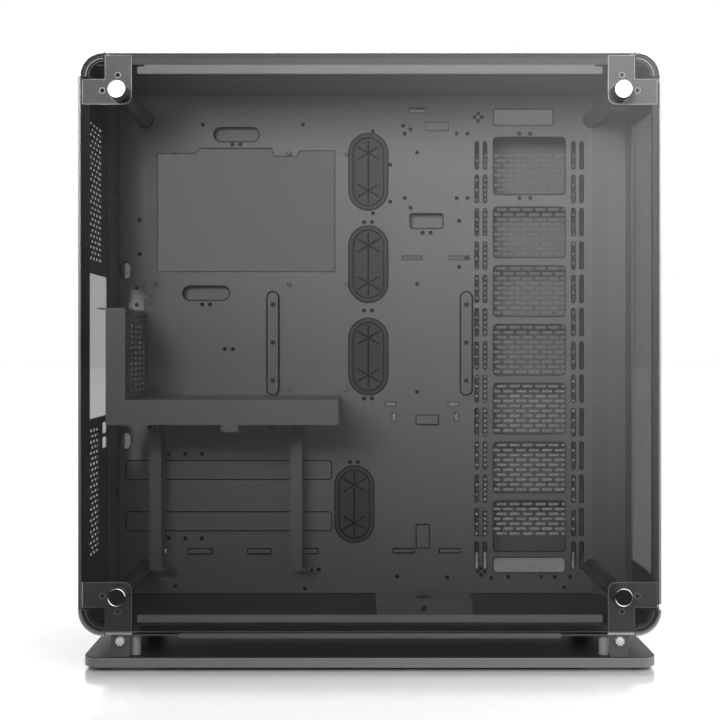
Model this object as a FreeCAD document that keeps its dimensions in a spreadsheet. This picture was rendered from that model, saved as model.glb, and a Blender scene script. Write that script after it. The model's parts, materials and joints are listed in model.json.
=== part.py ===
import FreeCAD, Part
import math
import os
import Sketcher

# An open-frame computer chassis that stands on a base plate.
# X runs from the rear of the computer to its front, Y from the side that is seen to the far side,
# and Z is up. The origin is on the floor, under the middle of the chassis.

doc = FreeCAD.newDocument("open_frame_chassis")
dim = doc.addObject("Spreadsheet::Sheet", "dim")

# Driving dimensions, in millimetres
sizes = {
    # The body between its outer faces, and the two side planes of its frame
    "body_long": 621.3,
    "body_tall": 622.8,
    "frame_wide": 210.0,
    "corner_radius": 27.0,
    "sheet": 1.2,
    "seat_gap": 0.3,
    # Foot pads, base plate and the posts that lift the body off it
    "foot_tall": 4.3,
    "foot_long": 50.0,
    "foot_wide": 24.0,
    "foot_from_end": 51.0,
    "foot_from_side": 24.0,
    "base_thick": 10.7,
    "base_inset": 4.15,
    "base_lap": 3.0,
    "base_radius": 20.0,
    "base_edge": 1.5,
    "base_gap": 22.5,
    "post_radius": 6.0,
    "post_from_end": 58.65,
    "post_from_side": 14.0,
    # Thumb screws and the angle brackets that clamp the body to the base plate
    "clamp_from_end": 45.15,
    "clamp_wide": 20.0,
    "clamp_sheet": 2.0,
    "thumb_radius": 5.0,
    "thumb_head": 5.5,
    "thumb_up": 17.5,
    "thumb_shank": 2.0,
    "thumb_shank_long": 8.0,
    "thumb_flutes": 8,
    "thumb_flute": 1.1,
    # Corner covers
    "cover_wall": 3.0,
    "cover_band": 8.5,
    "cover_end": 5.0,
    "cover_lip": 3.2,
    "cover_step": 2.5,
    # Gussets, their screws and the posts between them
    "gusset_thick": 5.0,
    "gusset_end": 5.2,
    "gusset_low_end": 1.5,
    "gusset_notch": 30.5,
    "gusset_leg": 29.0,
    "gusset_reach": 57.0,
    "gusset_fillet": 8.0,
    "gusset_screw_radius": 2.6,
    "gusset_screw_out": 26.0,
    "gusset_screw_in": 42.5,
    "gusset_screw_deep": 3.2,
    "knob_inset": 45.35,
    "pillar_radius": 9.0,
    "pillar_bore": 4.5,
    # Knobs that hold the side glass
    "knob_radius": 9.8,
    "knob_long": 18.5,
    "cap_thick": 1.5,
    "cap_radius": 9.4,
    "stud_radius": 4.0,
    "stud_long": 14.0,
    "glass_hole": 5.0,
    # Glass panes
    "side_glass": 5.0,
    "far_glass": 5.0,
    "top_glass": 5.0,
    "front_glass": 5.0,
    "side_glass_inset": 3.5,
    "side_glass_radius": 24.0,
    "pane_end": 33.5,
    # Top and bottom panels and their rails
    "top_panel_tall": 6.8,
    "top_panel_gap": 3.2,
    "rail_end_gap": 6.15,
    "rail_tall": 7.6,
    "rail_groove": 2.0,
    "rail_thick": 3.0,
    "rail_radius": 1.6,
    "floor_rise": 14.7,
    "floor_flange": 3.3,
    "skirt_sheet": 1.5,
    "skirt_end_gap": 36.05,
    "filter_end_gap": 107.25,
    "filter_thick": 2.4,
    "filter_lip_tall": 5.3,
    "filter_lip": 1.5,
    "filter_border": 12.0,
    # Rear wall
    "rear_depth": 12.65,
    "rear_flange_end": 4.05,
    "rear_skin_deep": 14.0,
    "cutout_to_tray": 67.0,
    "cutout_under_shelf": 19.7,
    "cutout_tall": 156.0,
    "vent_slot_long": 12.0,
    "vent_open_share": 0.55,
    "vent_pitch_y": 15.8,
    "vent_first_y": 5.0,
    "vent_upper_gap": 13.0,
    "vent_upper_top": 79.3,
    "vent_upper_rows": 13,
    "vent_upper_columns": 4,
    "vent_lower_rise": 81.5,
    "vent_lower_gap": 17.0,
    "vent_lower_rows": 12,
    "vent_lower_columns": 3,
    "cable_slot_wide": 23.0,
    "cable_slot_drop": 36.4,
    "cable_slot_tall": 12.4,
    "cable_slot_pitch": 16.4,
    "cable_slot_count": 2,
    # Front frame behind the front glass
    "front_web": 2.15,
    "front_lap": 9.0,
    "front_border_near": 8.0,
    "front_border_end": 62.0,
    "front_window_gap": 5.5,
    # Tray, and the space for cables behind it
    "cable_space": 50.0,
    "tray_rear_flange": 55.0,
    "tray_bevel_from_front": 37.3,
    "tray_bevel": 15.5,
    "tray_front_flange": 33.0,
    # Board: its first hole from the rear wall and the roof, then its standard hole pattern
    "board_from_rear": 45.3,
    "board_from_roof": 70.3,
    "board_top_rear": 22.86,
    "board_middle_column": 157.48,
    "board_last_column": 226.06,
    "board_middle_row": 154.94,
    "board_low_row": 279.4,
    # Large cut-out behind the board, from the board's first hole
    "bay_from_board": 2.0,
    "bay_long": 211.0,
    "bay_below_board": 140.5,
    "bay_above_board": 3.2,
    "bay_radius": 4.0,
    "bay_rear_step": 3.5,
    "bay_rise": 3.1,
    "bay_drop": 6.5,
    "bay_step_one": 46.7,
    "bay_step_two": 137.7,
    "bay_step_three": 171.2,
    "bay_slope": 7.0,
    "bay_short_slope": 2.8,
    # Cable slots in the tray
    "slot_upper_across": 96.1,
    "slot_upper_up": 22.5,
    "slot_upper_long": 54.0,
    "slot_lower_across": 60.1,
    "slot_lower_down": 165.9,
    "slot_lower_long": 55.7,
    "slot_tall": 17.2,
    "port_shift": 4.6,
    "port_long": 39.6,
    "port_down": 89.1,
    "port_tall": 17.7,
    "port_radius": 3.0,
    "notch_from_front": 154.6,
    "notch_long": 70.4,
    "notch_from_roof": 17.8,
    "notch_tall": 19.4,
    "lace_from_rear": 10.0,
    "lace_wide": 12.0,
    "lace_tall": 19.5,
    "lace_upper_down": 139.5,
    "lace_lower_rise": 181.3,
    # Rubber grommets
    "grommet_wide": 46.4,
    "grommet_tall": 91.0,
    "grommet_flange": 2.2,
    "grommet_rim": 5.0,
    "grommet_skin": 1.5,
    "grommet_slit": 0.9,
    "grommet_arm": 14.5,
    "grommet_lip": 1.6,
    "grommet_across": 252.7,
    "grommet_down": 21.8,
    "grommet_pitch": 109.8,
    "grommet_low_across": 236.2,
    "grommet_low_rise": 106.1,
    # Fan windows and the slots beside them
    "window_from_front": 155.1,
    "window_wide": 85.7,
    "window_rise": 49.8,
    "window_bar": 9.3,
    "window_count": 6,
    "window_radius": 5.0,
    "top_window_down": 119.3,
    "top_window_tall": 68.5,
    "top_window_bar": 5.2,
    "short_window_rise": 24.8,
    "short_window_tall": 18.0,
    "fan_slot_inner": 52.5,
    "fan_slot_outer": 62.25,
    "fan_slot_wide": 4.5,
    "fan_slot_bar": 6.9,
    "fan_slot_rise": 28.8,
    "fan_slot_top": 89.1,
    "fan_slot_count": 13,
    # Fan grille on the far side
    "grille_half_wide": 73.5,
    "grille_rise": 41.8,
    "grille_from_roof": 43.3,
    "grille_from_side": 7.0,
    "grille_slot_long": 40.0,
    "grille_slot_tall": 11.0,
    "grille_pitch_x": 45.0,
    "grille_border": 19.0,
    "grille_rows": 28,
    "grille_columns": 3,
    # Board standoffs
    "standoff_radius": 3.0,
    "standoff_tall": 6.5,
    "standoff_bore": 1.5,
    "standoff_floor": 1.0,
    # Cable strips
    "strip_rear_across": 139.4,
    "strip_front_gap": 32.1,
    "strip_wide": 14.0,
    "strip_above_shelf": 0.5,
    "strip_tall": 122.5,
    "strip_thick": 3.0,
    "strip_screw_first": 17.0,
    "strip_screw_pitch": 45.0,
    "screw_head": 3.0,
    "screw_head_tall": 1.8,
    # Raised panels on the lower tray
    "emboss_from_rear": 10.4,
    "emboss_long": 244.0,
    "emboss_rise_one": 74.5,
    "emboss_rise_two": 135.5,
    "emboss_tall": 22.5,
    "emboss_high": 0.8,
    # Card bracket with its shelf
    "card_near": 20.0,
    "card_from_rear": 13.0,
    "card_long": 251.0,
    "card_shelf_down": 287.3,
    "card_flange": 27.0,
    "card_wall_from_rear": 34.0,
    "card_wall_tall": 99.5,
    "card_cap_from_rear": 4.0,
    "card_slot_wide": 12.0,
    "card_slot_tall": 4.2,
    "card_slot_pitch_y": 20.0,
    "card_slot_pitch_z": 9.6,
    "card_slot_columns": 6,
    "card_slot_rows": 9,
    "card_cap_slots": 2,
    "card_tab_from_rear": 137.4,
    "card_tab_long": 18.4,
    "card_tab_tall": 7.6,
    # Supply posts under the shelf
    "supply_rear_from_rear": 49.5,
    "supply_front_from_rear": 213.5,
    "supply_wide": 14.0,
    "supply_deep": 30.0,
    "supply_rise": 33.8,
    "supply_below_shelf": 47.7,
    "supply_sheet": 1.5,
    "supply_foot": 10.0,
    "supply_stud_radius": 4.0,
    # Screws that hold the tray to the rear wall and under the shelf, and one in the pump bracket
    "wall_screw_deep": 13.0,
    "wall_screw_upper": 48.3,
    "wall_screw_lower": 118.2,
    "shelf_screw_down": 37.9,
    "shelf_screw_rear": 38.2,
    "shelf_screw_front": 182.2,
    # Pump bracket on the floor
    "pump_across": 261.0,
    "pump_long": 104.2,
    "pump_near": 40.5,
    "pump_deep": 65.5,
    "pump_tall": 13.2,
    "pump_sheet": 1.5,
    "pump_hole": 11.0,
    # Drive plates behind the tray
    "drive_plate_lap": 12.0,
    "drive_plate_rim": 7.0,
    "drive_plate_gap": 9.0,
    "drive_plate_clear": 9.65,
    # Small round holes and cable-tie slots
    "small_hole": 1.6,
    "pair_hole": 1.2,
    "pair_pitch": 9.5,
    "drive_hole_across": 61.72,
    "drive_hole_down": 76.6,
    "drive_hole_pitch": 74.6,
    "drive_hole_start": 25.8,
    "drive_hole_up": 23.5,
    "row_first": 15.6,
    "row_pitch": 19.6,
    "row_high_rise": 165.5,
    "row_low_rise": 65.5,
    "diamond": 4.2,
    "diamond_high_back": 17.8,
    "diamond_high_down": 27.2,
    "diamond_low_back": 14.3,
    "diamond_low_rise": 26.2,
    "loop_high": 3.5,
    "loop_end": 2.0,
}

# Small round holes in the tray, each from two of the tray's own marks:
# the board's first hole, the port's middle or the window's edge, and the board's row, the roof or the floor
small_holes = {
    "above_slot_rear": ("board_x", 56.0, "board_z", 34.2),
    "above_slot_front": ("board_x", 175.0, "board_z", 34.2),
    "rear_edge_one": ("board_x", -19.0, "board_z", -78.9),
    "rear_edge_two": ("board_x", -19.0, "board_z", -119.3),
    "rear_edge_three": ("board_x", -22.5, "board_z", -159.8),
    "rear_edge_four": ("board_x", -22.5, "board_z", -180.0),
    "grommet_top": ("board_x", 258.3, "board_z", 26.4),
    "grommet_side_high": ("board_x", 278.8, "board_z", -13.4),
    "grommet_side_low": ("board_x", 278.8, "board_z", -57.4),
    "grommet_bottom": ("board_x", 258.3, "board_z", -71.0),
    "floor_rear": ("board_x", 23.3, "floor_z", 8.4),
    "floor_middle": ("board_x", 177.4, "floor_z", 6.0),
    "hook_left": ("port_x", -27.8, "board_z", 33.0),
    "hook_low": ("port_x", -18.9, "board_z", 28.6),
    "port_above": ("port_x", -11.1, "board_z", 1.3),
    "port_rear": ("port_x", -18.9, "board_z", -64.6),
    "port_front_high": ("port_x", 38.9, "board_z", -80.0),
    "port_front_low": ("port_x", 38.9, "board_z", -134.8),
    "middle_high": ("port_x", -11.1, "board_z", -155.0),
    "middle_low": ("port_x", -11.1, "board_z", -283.5),
    "floor_port_rear": ("port_x", -34.9, "floor_z", 20.3),
    "floor_port_front": ("port_x", 24.6, "floor_z", 19.1),
    "floor_window_one": ("window_x", -2.4, "floor_z", 18.5),
    "floor_window_two": ("window_x", 17.9, "floor_z", 19.8),
    "floor_window_three": ("window_x", 57.1, "floor_z", 19.8),
    "floor_window_four": ("window_x", 73.2, "floor_z", 19.8),
    "floor_window_five": ("window_x", 91.6, "floor_z", 19.8),
    "floor_window_low": ("window_x", 84.5, "floor_z", 7.2),
}

# Pairs of smaller holes for cable ties, by the middle of each pair
hole_pairs = {
    "under_upper_slot": ("board_x", 96.0, "board_z", 10.7),
    "under_lower_slot": ("board_x", 60.0, "board_z", -179.4),
    "over_shelf": ("board_x", 87.0, "board_z", -232.4),
    "between_grommets_high": ("board_x", 252.4, "board_z", -81.6),
    "between_grommets_low": ("board_x", 252.4, "board_z", -186.6),
    "under_grommets": ("board_x", 252.4, "board_z", -291.2),
    "over_low_grommet": ("board_x", 235.7, "floor_z", 156.0),
    "floor_pair": ("board_x", 189.3, "floor_z", 28.6),
    "under_port": ("port_x", 0.2, "board_z", -94.3),
}

# Small oblong cuts in the tray: marks as above, then how long and how tall each is
small_cuts = {
    "hook_cut": ("port_x", -0.4, "board_z", 27.0, 26.2, 9.6),
    "angle_cut_rear": ("port_x", -29.0, "board_z", -126.5, 23.8, 4.8),
    "angle_cut_front": ("port_x", 27.0, "board_z", -126.5, 23.8, 4.8),
    "low_cut_rear": ("port_x", -49.2, "board_z", -300.2, 13.1, 4.8),
    "low_cut_front": ("port_x", 25.8, "board_z", -300.2, 13.1, 4.8),
    "low_notch_rear": ("port_x", -40.9, "board_z", -318.0, 4.8, 9.5),
    "low_notch_front": ("port_x", 32.9, "board_z", -318.0, 5.4, 9.5),
    "roof_notch": ("port_x", -20.1, "roof_z", -21.8, 18.5, 5.9),
    "slit_upper": ("board_x", -13.4, "board_z", -166.0, 2.0, 13.3),
    "slit_lower": ("board_x", -13.4, "board_z", -186.0, 2.0, 13.1),
    "behind_post": ("board_x", 4.8, "floor_z", 47.6, 8.4, 6.0),
}

# Raised loops that cables are tied to, pressed out of the tray
tie_loops = {
    "clip_loop": ("port_x", -12.3, "board_z", -321.6, 26.2, 10.7),
    "bridge_loop": ("port_x", -12.3, "floor_z", 54.6, 15.5, 27.4),
    "bridge_side_rear": ("port_x", -39.7, "floor_z", 48.8, 25.0, 4.8),
    "bridge_side_front": ("port_x", 15.1, "floor_z", 48.8, 25.0, 4.8),
    "tie_loop_one": ("board_x", 39.4, "floor_z", 47.6, 27.3, 6.0),
    "tie_loop_two": ("board_x", 109.6, "floor_z", 47.6, 27.3, 6.0),
    "tie_loop_three": ("board_x", 175.6, "floor_z", 47.6, 17.3, 6.0),
}

for kind, table, words in (("hole", small_holes, ("across", "up")), ("pair", hole_pairs, ("across", "up")),
                           ("cut", small_cuts, ("across", "up", "long", "tall")),
                           ("loop", tie_loops, ("across", "up", "long", "tall"))):
    for name, entry in table.items():
        for word, value in zip(words, (entry[1],) + entry[3:]):
            sizes[f"{kind}_{name}_{word}"] = value

for row, (name, value) in enumerate(sizes.items(), start=1):
    dim.set("A" + str(row), name)
    dim.set("B" + str(row), str(value))
    dim.setAlias("B" + str(row), name)
doc.recompute()

# Places that many pieces share, worked out from the driving dimensions
HALF = "dim.body_long / 2"
NEAR = "-dim.frame_wide / 2"
FAR = "dim.frame_wide / 2"
BASE_TOP = "dim.foot_tall + dim.base_thick"
BODY_LOW = "dim.foot_tall + dim.base_thick + dim.base_gap"
BODY_HIGH = "dim.foot_tall + dim.base_thick + dim.base_gap + dim.body_tall"
GUSSET_X = "dim.body_long / 2 - dim.gusset_reach"
ROOF = BODY_HIGH + " - dim.top_glass - dim.top_panel_gap - dim.top_panel_tall"
CORNERS = [("rear", "-1"), ("front", "1")]
LEVELS = [("bottom", BODY_LOW, "1"), ("top", BODY_HIGH, "-1")]
GUSSET_SCREWS = [("dim.gusset_screw_in", "dim.gusset_screw_out"),
                 ("dim.gusset_screw_out", "dim.gusset_screw_in")]
UP = FreeCAD.Vector(0, 0, 1)

# Places of the walls, and of each feature from the wall or the board that it belongs to
places = {
    "base_long": "dim.body_long - 2 * dim.base_inset",
    "base_wide": "dim.frame_wide + 2 * dim.base_lap",
    "foot_x": "place.base_long / 2 - dim.foot_from_end",
    "foot_y": "place.base_wide / 2 - dim.foot_from_side",
    "post_x": HALF + " - dim.post_from_end",
    "post_y": FAR + " - dim.post_from_side",
    "clamp_x": HALF + " - dim.clamp_from_end",
    "thumb_z": BASE_TOP + " + dim.thumb_up",
    "rail_half_long": GUSSET_X + " - dim.rail_end_gap",
    "skirt_half_long": HALF + " - dim.skirt_end_gap",
    "filter_half_long": HALF + " - dim.filter_end_gap",
    "rear_wall_x": "-dim.body_long / 2 + dim.rear_depth",
    "front_web_x": HALF + " - dim.front_glass - dim.front_web",
    "floor_top": BODY_LOW + " + dim.floor_rise",
    "tray_y": FAR + " - dim.cable_space",
    "tray_bevel_x": "place.front_web_x - dim.tray_bevel_from_front",
    "board_x": "place.rear_wall_x + dim.board_from_rear",
    "board_z": ROOF + " - dim.board_from_roof",
    "floor_z": "place.floor_top",
    "roof_z": ROOF,
    "board_column_one": "place.board_x",
    "board_column_two": "place.board_x + dim.board_middle_column",
    "board_column_three": "place.board_x + dim.board_last_column",
    "board_rear_top": "place.board_x + dim.board_top_rear",
    "board_row_top": "place.board_z",
    "board_row_mid": "place.board_z - dim.board_middle_row",
    "board_row_low": "place.board_z - dim.board_low_row",
    "bay_left": "place.board_x + dim.bay_from_board",
    "bay_right": "place.bay_left + dim.bay_long",
    "bay_low": "place.board_z - dim.bay_below_board",
    "bay_high": "place.board_z + dim.bay_above_board",
    "bay_step_one": "place.board_x + dim.bay_step_one",
    "bay_step_two": "place.board_x + dim.bay_step_two",
    "bay_step_three": "place.board_x + dim.bay_step_three",
    "slot_upper_x": "place.board_x + dim.slot_upper_across",
    "slot_upper_z": "place.board_z + dim.slot_upper_up",
    "slot_lower_x": "place.board_x + dim.slot_lower_across",
    "slot_lower_z": "place.board_z - dim.slot_lower_down",
    "window_left": "place.front_web_x - dim.window_from_front",
    "window_right": "place.window_left + dim.window_wide",
    "window_middle": "place.window_left + dim.window_wide / 2",
    "window_x": "place.window_left",
    "window_low": "place.floor_top + dim.window_rise",
    "top_window_low": ROOF + " - dim.top_window_down",
    "window_pitch": "(place.top_window_low - place.window_low - dim.top_window_bar) / dim.window_count",
    "window_tall": "place.window_pitch - dim.window_bar",
    "short_window_low": "place.floor_top + dim.short_window_rise",
    "fan_slot_low": "place.floor_top + dim.fan_slot_rise",
    "fan_slot_pitch": f"({ROOF} - dim.fan_slot_top - place.fan_slot_low) / (dim.fan_slot_count - 1)",
    "fan_slot_long": "place.fan_slot_pitch - dim.fan_slot_bar",
    "grommet_column_x": "place.board_x + dim.grommet_across",
    "grommet_first_z": "place.board_z - dim.grommet_down - 2 * dim.grommet_pitch",
    "grommet_low_x": "place.board_x + dim.grommet_low_across",
    "grommet_low_z": "place.floor_top + dim.grommet_low_rise",
    "port_x": "(place.grommet_column_x + place.window_middle - dim.fan_slot_outer) / 2 + dim.port_shift",
    "port_left": "place.port_x - dim.port_long / 2",
    "port_right": "place.port_x + dim.port_long / 2",
    "port_low": "place.board_z - dim.port_down",
    "port_high": "place.port_low + dim.port_tall",
    "notch_left": "place.front_web_x - dim.notch_from_front",
    "notch_right": "place.notch_left + dim.notch_long",
    "notch_high": ROOF + " - dim.notch_from_roof",
    "notch_low": "place.notch_high - dim.notch_tall",
    "lace_x": "place.rear_wall_x + dim.lace_from_rear",
    "lace_upper_z": "place.board_z - dim.lace_upper_down",
    "lace_lower_z": "place.floor_top + dim.lace_lower_rise",
    "grille_left": "place.window_middle - dim.grille_half_wide",
    "grille_right": "place.window_middle + dim.grille_half_wide",
    "grille_low": "place.floor_top + dim.grille_rise",
    "grille_high": ROOF + " - dim.grille_from_roof",
    "grille_y": FAR + " - dim.grille_from_side",
    "grille_pitch_z": "(place.grille_high - place.grille_low - 2 * dim.grille_border - dim.grille_slot_tall)"
                      " / (dim.grille_rows - 1)",
    "card_shelf": "place.board_z - dim.card_shelf_down",
    "card_left": "place.rear_wall_x + dim.card_from_rear",
    "card_right": "place.card_left + dim.card_long",
    "card_low": "place.card_shelf - dim.card_flange",
    "card_wall_x": "place.rear_wall_x + dim.card_wall_from_rear",
    "card_wall_top": "place.card_shelf + dim.card_wall_tall",
    "card_cap_left": "place.rear_wall_x + dim.card_cap_from_rear",
    "card_tab_left": "place.rear_wall_x + dim.card_tab_from_rear",
    "strip_rear_x": "place.board_x + dim.strip_rear_across",
    "strip_front_x": "place.window_left - dim.strip_front_gap",
    "strip_low": "place.card_shelf + dim.strip_above_shelf",
    "strip_high": "place.strip_low + dim.strip_tall",
    "emboss_left": "place.rear_wall_x + dim.emboss_from_rear",
    "emboss_right": "place.emboss_left + dim.emboss_long",
    "emboss_low_one": "place.floor_top + dim.emboss_rise_one",
    "emboss_low_two": "place.floor_top + dim.emboss_rise_two",
    "cutout_low": "place.card_shelf - dim.cutout_under_shelf",
    "cutout_high": "place.cutout_low + dim.cutout_tall",
    "cutout_far": "place.tray_y - dim.cutout_to_tray",
    "cable_slot_near": "place.cutout_far - dim.cable_slot_wide",
    "cable_slot_low": "place.cutout_low - dim.cable_slot_drop",
    "vent_upper_low": "place.cutout_high + dim.vent_upper_gap",
    "vent_upper_pitch": f"({BODY_HIGH} - dim.vent_upper_top - place.vent_upper_low)"
                        " / (dim.vent_upper_rows - 1)",
    "vent_lower_low": BODY_LOW + " + dim.vent_lower_rise",
    "vent_lower_pitch": "(place.cutout_low - dim.vent_lower_gap - place.vent_lower_low)"
                        " / (dim.vent_lower_rows - 1)",
    "supply_rear_x": "place.rear_wall_x + dim.supply_rear_from_rear",
    "supply_front_x": "place.rear_wall_x + dim.supply_front_from_rear",
    "supply_low": "place.floor_top + dim.supply_rise",
    "supply_high": "place.card_shelf - dim.supply_below_shelf",
    "pump_left": "place.board_x + dim.pump_across",
    "pump_right": "place.pump_left + dim.pump_long",
}
place = doc.addObject("App::VarSet", "place")
for name, text in places.items():
    place.addProperty("App::PropertyFloat", name)
    place.setExpression(name, text)
doc.recompute()
TRAY = "place.tray_y"


def number(text):
    """The present value of an expression on the sizes."""
    return float(dim.evalExpression(text))


def new_body(name):
    body = doc.addObject("PartDesign::Body", name)
    body.Label = name
    return body


def new_sketch(body, name, role, offset):
    """A sketch on one of the body's own planes, moved along that plane's normal."""
    sketch = body.newObject("Sketcher::SketchObject", name)
    plane = [feature for feature in body.Origin.OriginFeatures if feature.Role == role][0]
    sketch.AttachmentSupport = [(plane, "")]
    sketch.MapMode = "FlatFace"
    sketch.setExpression("AttachmentOffset.Base.z", offset)
    return sketch


def tie(sketch, wanted):
    """Adds a sketch's constraints in one go; each comes with the expression that drives it, or none."""
    indices = sketch.addConstraint([constraint for constraint, text in wanted])
    for index, (constraint, text) in zip(indices, wanted):
        if text:
            sketch.setExpression("Constraints[" + str(index) + "]", text)


def held(kind, geometry, point, text):
    """One end of a sketch line, or a circle's centre, held at a size from the origin."""
    return Sketcher.Constraint(kind, -1, 1, geometry, point, number(text)), text


def radius_of(geometry, text):
    return Sketcher.Constraint("Radius", geometry, number(text)), text


def joined(kind, chain):
    """Each piece's end meets the next one's start, all the way round."""
    return [(Sketcher.Constraint(kind, piece, 2, following, 1), None)
            for piece, following in zip(chain, chain[1:] + chain[:1])]


def circles(sketch, centres, radius):
    """Equal circles, each with its centre tied to its two sizes."""
    rings = [Part.Circle(FreeCAD.Vector(number(across), number(up), 0), UP, number(radius))
             for across, up in centres]
    indices = sketch.addGeometry(rings, False)
    wanted = []
    for index, (across, up) in zip(indices, centres):
        wanted += [held("DistanceX", index, 3, across), held("DistanceY", index, 3, up),
                   radius_of(index, radius)]
    tie(sketch, wanted)


def circle(sketch, across, up, radius):
    circles(sketch, [(across, up)], radius)


def polygons(sketch, outlines):
    """Closed outlines of straight lines, with each corner tied to its two sizes."""
    wanted = []
    for points in outlines:
        ends = [FreeCAD.Vector(number(across), number(up), 0) for across, up in points]
        segments = [Part.LineSegment(here, there) for here, there in zip(ends, ends[1:] + ends[:1])]
        lines = list(sketch.addGeometry(segments, False))
        wanted += joined("Coincident", lines)
        for line, (across, up) in zip(lines, points):
            wanted += [held("DistanceX", line, 1, across), held("DistanceY", line, 1, up)]
    tie(sketch, wanted)


def polygon(sketch, points):
    polygons(sketch, [points])


def corners(left, right, low, high):
    return [(left, low), (right, low), (right, high), (left, high)]


def rectangle(sketch, left, right, low, high):
    polygon(sketch, corners(left, right, low, high))


def rounded(sketch, left, right, low, high, radius):
    """A rectangle with four equal rounded corners."""
    x0, x1, z0, z1, r = [number(text) for text in (left, right, low, high, radius)]
    starts = [(x0 + r, z0), (x1, z0 + r), (x1 - r, z1), (x0, z1 - r)]
    ends = [(x1 - r, z0), (x1, z1 - r), (x0 + r, z1), (x0, z0 + r)]
    centres = [(x1 - r, z0 + r), (x1 - r, z1 - r), (x0 + r, z1 - r), (x0 + r, z0 + r)]
    pieces = []
    for side in range(4):
        turn = (side - 1) * math.pi / 2
        ring = Part.Circle(FreeCAD.Vector(*centres[side], 0), UP, r)
        pieces.append(Part.LineSegment(FreeCAD.Vector(*starts[side], 0), FreeCAD.Vector(*ends[side], 0)))
        pieces.append(Part.ArcOfCircle(ring, turn, turn + math.pi / 2))
    chain = list(sketch.addGeometry(pieces, False))
    wanted = joined("Tangent", chain)
    for side, kind in enumerate(("Horizontal", "Vertical", "Horizontal", "Vertical")):
        wanted.append((Sketcher.Constraint(kind, chain[2 * side]), None))
    for arc in chain[3::2]:
        wanted.append((Sketcher.Constraint("Equal", chain[1], arc), None))
    wanted += [held("DistanceY", chain[0], 1, low), held("DistanceX", chain[2], 1, right),
               held("DistanceY", chain[4], 1, high), held("DistanceX", chain[6], 1, left),
               radius_of(chain[1], radius)]
    tie(sketch, wanted)


def upright_slot(sketch, across, up, wide, tall):
    """A slot with round ends, longer upwards, about its centre."""
    x, z, r = number(across), number(up), number(wide) / 2
    run = number(tall) / 2 - r
    top = Part.Circle(FreeCAD.Vector(x, z + run, 0), UP, r)
    bottom = Part.Circle(FreeCAD.Vector(x, z - run, 0), UP, r)
    chain = list(sketch.addGeometry([
        Part.ArcOfCircle(top, 0, math.pi),
        Part.LineSegment(FreeCAD.Vector(x - r, z + run, 0), FreeCAD.Vector(x - r, z - run, 0)),
        Part.ArcOfCircle(bottom, math.pi, 2 * math.pi),
        Part.LineSegment(FreeCAD.Vector(x + r, z - run, 0), FreeCAD.Vector(x + r, z + run, 0))], False))
    wanted = joined("Tangent", chain)
    wanted += [(Sketcher.Constraint("Vertical", chain[1]), None),
               held("DistanceX", chain[0], 3, across),
               held("DistanceY", chain[0], 3, f"({up}) + (({tall}) - ({wide})) / 2"),
               held("DistanceY", chain[2], 3, f"({up}) - (({tall}) - ({wide})) / 2"),
               radius_of(chain[0], f"({wide}) / 2")]
    tie(sketch, wanted)


def level_slot(sketch, across, up, long, tall):
    """A slot with round ends, longer sideways, about its centre."""
    x, z, r = number(across), number(up), number(tall) / 2
    run = number(long) / 2 - r
    right = Part.Circle(FreeCAD.Vector(x + run, z, 0), UP, r)
    left = Part.Circle(FreeCAD.Vector(x - run, z, 0), UP, r)
    chain = list(sketch.addGeometry([
        Part.ArcOfCircle(right, -math.pi / 2, math.pi / 2),
        Part.LineSegment(FreeCAD.Vector(x + run, z + r, 0), FreeCAD.Vector(x - run, z + r, 0)),
        Part.ArcOfCircle(left, math.pi / 2, 3 * math.pi / 2),
        Part.LineSegment(FreeCAD.Vector(x - run, z - r, 0), FreeCAD.Vector(x + run, z - r, 0))], False))
    wanted = joined("Tangent", chain)
    wanted += [(Sketcher.Constraint("Horizontal", chain[1]), None),
               held("DistanceY", chain[0], 3, up),
               held("DistanceX", chain[0], 3, f"({across}) + (({long}) - ({tall})) / 2"),
               held("DistanceX", chain[2], 3, f"({across}) - (({long}) - ({tall})) / 2"),
               radius_of(chain[0], f"({tall}) / 2")]
    tie(sketch, wanted)


# Each direction: the plane to draw on, the sign of its normal, and whether a pad is turned round
DIRECTIONS = {"x": ("YZ_Plane", "1", False), "y": ("XZ_Plane", "-1", True), "z": ("XY_Plane", "1", False)}


def pad(body, name, along, start, end, draw):
    """Fills the drawn outline from one place to another along an axis."""
    role, sign, turned = DIRECTIONS[along]
    sketch = new_sketch(body, name + "_outline", role, f"{sign} * ({start})")
    draw(sketch)
    feature = body.newObject("PartDesign::Pad", name)
    feature.Profile = sketch
    feature.Reversed = turned
    feature.setExpression("Length", f"({end}) - ({start})")
    body.Tip = feature
    return feature


def pocket(body, name, along, start, end, draw):
    """Cuts the drawn outline away from one place to another along an axis."""
    role, sign, turned = DIRECTIONS[along]
    sketch = new_sketch(body, name + "_outline", role, f"{sign} * ({start})")
    draw(sketch)
    feature = body.newObject("PartDesign::Pocket", name)
    feature.Profile = sketch
    feature.Reversed = not turned
    feature.setExpression("Length", f"({end}) - ({start})")
    body.Tip = feature
    return feature


def repeat(body, name, feature, axis, length, count, axis_two=None, length_two=None, count_two=None):
    """Repeats a feature in a row, or in rows and columns, along the axes of its outline."""
    row = body.newObject("PartDesign::LinearPattern", name)
    row.Originals = [feature]
    outline = feature.Profile[0]
    row.Direction = (outline, [axis])
    row.setExpression("Length", length)
    row.setExpression("Occurrences", count)
    if axis_two:
        row.Direction2 = (outline, [axis_two])
        row.setExpression("Length2", length_two)
        row.setExpression("Occurrences2", count_two)
    body.Tip = row
    return row


def round_edges(body, name, feature, radius, wanted):
    """Rounds the edges whose middle point passes the test."""
    doc.recompute()
    edges = []
    for index, edge in enumerate(feature.Shape.Edges, start=1):
        middle = edge.valueAt((edge.FirstParameter + edge.LastParameter) / 2)
        if wanted(edge, middle):
            edges.append("Edge" + str(index))
    fillet = body.newObject("PartDesign::Fillet", name)
    fillet.Base = (feature, edges)
    fillet.setExpression("Radius", radius)
    body.Tip = fillet
    return fillet


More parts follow.
